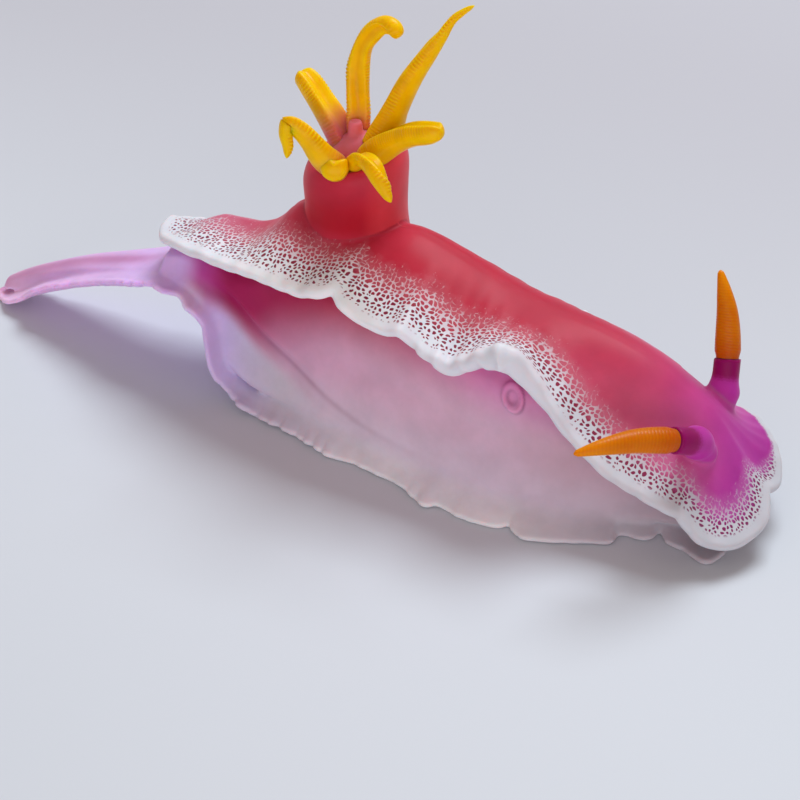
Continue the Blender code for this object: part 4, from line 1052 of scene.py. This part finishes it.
def skin_material():
    """Skin with its tints, white lace and rim, small pores and a wet surface."""
    mat, tree, bsdf = nodes_of("skin")
    flesh(bsdf, 0.00045, 0.8, 0.48, 0.44, 0.42)
    bsdf.inputs["Sheen Weight"].default_value = 0.1
    bsdf.inputs["Sheen Roughness"].default_value = 0.45
    bsdf.inputs["Sheen Tint"].default_value = (1.0, 0.7, 0.75, 1)
    tint_at = attribute(tree, "tint", "Color")
    place_at = attribute(tree, "lace", "Vector")
    band_at = attribute(tree, "band")
    top_at = attribute(tree, "on_top")
    where = object_place(tree)
    uneven = math(tree, "MULTIPLY_ADD", noise(tree, place_at, 1.5, 3.0, over="2D"), 0.3, -0.15)
    depth = math(tree, "ADD", band_at, uneven)
    strand = lace_strands(tree, place_at, band_at, depth, uneven)
    streaks = vector_math(tree, "MULTIPLY", place_at, i1=(2.4, 0.8, 1.0))
    torn = math(tree, "MULTIPLY_ADD", noise(tree, streaks, 2.2, 2.0, over="2D"), 0.9, -0.45)
    fading = ramp(tree, math(tree, "ADD", depth, torn), 1.05, 0.75)
    lace = math(tree, "MAXIMUM", product(tree, strand, fading, top_at), attribute(tree, "rim"))
    # Painted shade: the small holes near the rim are darkened
    hole_shade = product(tree, ramp(tree, depth, 0.75, 0.35), top_at, 0.75)
    mottle = noise(tree, where, 420.0, 4.0, Roughness=0.6)
    base = blend_colours(tree, 1.0, tint_at, ramp(tree, mottle, 0.25, 0.75, 0.93, 1.06), "MULTIPLY")
    base = blend_colours(tree, hole_shade, base, HOLE_SHADE)
    halo = product(tree, ramp(tree, depth, 1.2, 0.85), ramp(tree, depth, 0.4, 0.8), top_at, 0.28)
    base = blend_colours(tree, halo, base, blend_colours(tree, 0.4, tint_at, HALO_COLOUR))
    white = vector_math(tree, "SCALE", WHITE_HUE, Scale=attribute(tree, "white"))
    pale = blend_colours(tree, ramp(tree, depth, 0.35, 1.0, 0.0, 0.55), white, tint_at)
    relief = math(tree, "MULTIPLY_ADD", noise(tree, where, 500.0, 3.0), 0.5,
                  product(tree, noise(tree, where, 2600.0, 2.0), 0.12))
    relief = math(tree, "ADD", relief, product(tree, lace, 0.5))
    surfaced(tree, bsdf, blend_colours(tree, lace, base, pale), relief, 0.35, 0.00008)
    return mat


def gill_material():
    """Yellow gills, pink and clear at the root, with painted shade as deeper orange in the grooves and along
    the edges.
    """
    mat, tree, bsdf = nodes_of("gill")
    flesh(bsdf, 0.0006, 1.0, 0.6, 0.15, 0.3)
    colour = blend_colours(tree, attribute(tree, "root"), GILL_COLOUR, GILL_ROOT)
    colour = blend_colours(tree, product(tree, attribute(tree, "groove"), 0.5), colour, GILL_EDGE_SHADE)
    mottle = noise(tree, object_place(tree), 900.0, 3.0)
    colour = blend_colours(tree, 1.0, colour, ramp(tree, mottle, 0.25, 0.75, 0.9, 1.08), "MULTIPLY")
    surfaced(tree, bsdf, colour, mottle, 0.25, 0.00006)
    return mat


def club_material():
    """Orange club with painted shade in its folds and a brighter tip."""
    mat, tree, bsdf = nodes_of("club")
    flesh(bsdf, 0.0005, 1.0, 0.5, 0.1, 0.33)
    along_at = attribute(tree, "along")
    colour = blend_colours(tree, ramp(tree, along_at, 0.0, 0.35), CLUB_ROOT, CLUB_MIDDLE)
    colour = blend_colours(tree, ramp(tree, along_at, 0.5, 0.9), colour, CLUB_TIP)
    colour = blend_colours(tree, product(tree, attribute(tree, "groove"), 0.15), colour, CLUB_FOLD_SHADE)
    surfaced(tree, bsdf, colour, noise(tree, object_place(tree), 1800.0, 3.0), 0.2, 0.00004)
    return mat


def gill(name, path, mat):
    """A grooved tapering blade with a comb of fine pinnules along both edges."""
    run = np.linalg.norm(np.diff(bend(path, 80)[:, :3], axis=0), axis=1).sum()
    count = int(run / PINNULE_PITCH * 6)
    rows = bend(path, count)
    t = np.linspace(0, 1, count + 1)
    left = np.clip(((1 - t) * run + 0.003) / END_ROUND, 0.01, 1)
    sizes = rows[:, 3] / 2 * np.sqrt(1 - (1 - left) ** 2)
    form = bend(GILL_SECTION, GILL_AROUND, closed=True)[:-1]
    comb = ease(0.6, 0.95, np.abs(form[:, 0])) * ease(-0.35, 0.3, form[:, 1])
    tooth = (0.5 + 0.5 * np.cos(t * run / PINNULE_PITCH * 2 * np.pi)) ** 1.5
    tooth = tooth * ease(0.04, 0.14, t) * ease(1.0, 0.93, t)
    tooth = tooth * (0.6 + 0.4 * np.sin(t * run * 2.3 + len(path)))
    section = np.repeat(form[None], count + 1, axis=0)
    reach = comb[None] * (tooth / np.maximum(sizes, 0.15))[:, None] * PINNULE_REACH
    section[..., 0] += reach * np.sign(form[:, 0])[None]
    section[..., 1] += reach * 0.5
    obj = body(name + "_fine", tube_rings(rows[:, :3], section, sizes, CROWN_MIDDLE), "point", MM)
    far, full, share = ROOT_FADE.get(name, PLAIN_ROOT)
    root = share * ease(far, full, t * run)
    set_values(obj, "root", "FLOAT", np.append(np.repeat(root, GILL_AROUND), (1.0, 0.0)))
    # Painted shade: darker in the blade's groove and in the notches between the pinnules
    groove = ease(0.3, 0.0, np.abs(form[:, 0])) * ease(0.0, 0.4, form[:, 1])
    dark = np.clip(0.5 * groove[None] + (1.3 - tooth[:, None]) * comb[None] * 0.6, 0, 1)
    set_values(obj, "groove", "FLOAT", np.append(dark, (0.0, 0.0)))
    obj.data.materials.append(mat)
    return obj


def club(side, radius, path, mat):
    """A tapered club with thin slanting lamellae and a plain strip along its back."""
    line = resample(bend(path, STEM_STEPS)[int(STALK_SHARE * STEM_STEPS) - 3:], CLUB_STEPS)
    t = np.linspace(0, 1, CLUB_STEPS + 1)
    sizes = radius * (1 - CLUB_TAPER * t ** CLUB_POWER) * np.clip((1.002 - t) / 0.03, 0.02, 1) ** 0.5
    sizes = sizes * (0.9 + 0.12 * ease(0.0, 0.1, t))
    form = circle(CLUB_AROUND)
    turn = whole_turn(CLUB_AROUND)
    fold = (t[:, None] * CLUB_LAMELLAE + 0.7 * np.cos(turn)[None]) % 1.0
    ridge = np.where(fold < 0.62, fold / 0.62, (1 - fold) / 0.38) ** 0.8
    plain = ease(0.75, 0.97, np.cos(turn))[None]
    ridge = ridge * (1 - plain) * (ease(0.02, 0.08, t) * ease(1.0, 0.95, t))[:, None]
    section = form[None] * (1 + LAMELLA_DEPTH * (ridge[..., None] - 0.5))
    obj = body("club_" + side, tube_rings(line, section, sizes), "point", MM)
    set_values(obj, "along", "FLOAT", np.append(np.repeat(t, CLUB_AROUND), (0.0, 1.0)))
    # Painted shade in the folds between the lamellae
    set_values(obj, "groove", "FLOAT", np.append(1 - ridge, (0.0, 0.0)))
    obj.data.materials.append(mat)
    return obj


skin.data.materials.append(skin_material())
gill_mat = gill_material()
club_mat = club_material()
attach(skin, "root")
FLESH = [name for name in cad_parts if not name.startswith(("gill_", "rhinophore_club"))]
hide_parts(*FLESH, "gill_sheath")
for name, path in GILLS:
    piece = gill(name, path, gill_mat)
    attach(piece, "root")
    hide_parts(name)
for side, radius, path in RHINOPHORES:
    piece = club(side, radius, path, club_mat)
    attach(piece, "root")
    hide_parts("rhinophore_club_" + side)


def floor_material():
    """Pale smooth floor with a faint unevenness, darkened a little far behind the animal by painted shade.
    """
    mat, tree, bsdf = nodes_of("floor")
    where = object_place(tree)
    colour = blend_colours(tree, noise(tree, where, 14.0, 2.0), *FLOOR_COLOURS)
    apart = node(tree, "ShaderNodeSeparateXYZ", i0=where)
    colour = blend_colours(tree, ramp(tree, apart.outputs[1], -0.02, 0.06), colour, FLOOR_FAR_SHADE)
    tree.links.new(colour, bsdf.inputs["Base Color"])
    bsdf.inputs["Roughness"].default_value = 0.55
    bsdf.inputs["Specular IOR Level"].default_value = 0.25
    return mat


def floor():
    """The floor under the animal, a hair below the sole."""
    mesh = bpy.data.meshes.new("floor")
    corners = ((-1, -1), (1, -1), (1, 1), (-1, 1))
    mesh.from_pydata([(FLOOR_HALF * a, FLOOR_HALF * b, FLOOR_LEVEL) for a, b in corners], [], [(0, 1, 2, 3)])
    obj = placed("floor", mesh)
    obj.data.materials.append(floor_material())


def camera():
    """The camera at the photo's angle and framing."""
    a, e = np.radians(AZIMUTH), np.radians(ELEVATION)
    right = np.array((np.cos(a), np.sin(a), 0.0))
    forward = np.array((-np.sin(a) * np.cos(e), np.cos(a) * np.cos(e), -np.sin(e)))
    place = (np.array(TARGET) - forward * DISTANCE) * MM
    data = bpy.data.cameras.new("camera")
    obj = placed("camera", data)
    rows = np.stack((right, np.cross(right, forward), -forward, place), axis=1)
    obj.matrix_world = Matrix((*rows.tolist(), (0, 0, 0, 1)))
    data.sensor_width = SENSOR
    data.lens = PIXELS_PER_MM * DISTANCE / IMAGE_SIDE * SENSOR
    data.clip_start = 0.005
    bpy.context.scene.camera = obj


def area_light(name, place, size, power, colour):
    """A soft flat light aimed at the animal."""
    data = bpy.data.lights.new(name, "AREA")
    data.shape = "RECTANGLE"
    data.size, data.size_y = size
    data.energy = power
    data.color = colour
    obj = placed(name, data)
    obj.location = place
    obj.rotation_mode = "QUATERNION"
    obj.rotation_quaternion = (-Vector(place)).to_track_quat("-Z", "Y")


def light():
    """A soft light from above and behind, a weak fill, and a pale surround."""
    for lamp in LIGHTS:
        area_light(*lamp)
    world = bpy.data.worlds.new("surround")
    world.use_nodes = True
    background = world.node_tree.nodes["Background"]
    background.inputs[0].default_value = SURROUND
    background.inputs[1].default_value = SURROUND_POWER
    bpy.context.scene.world = world


floor()
camera()
light()
bpy.context.scene.view_settings.view_transform = "Standard"
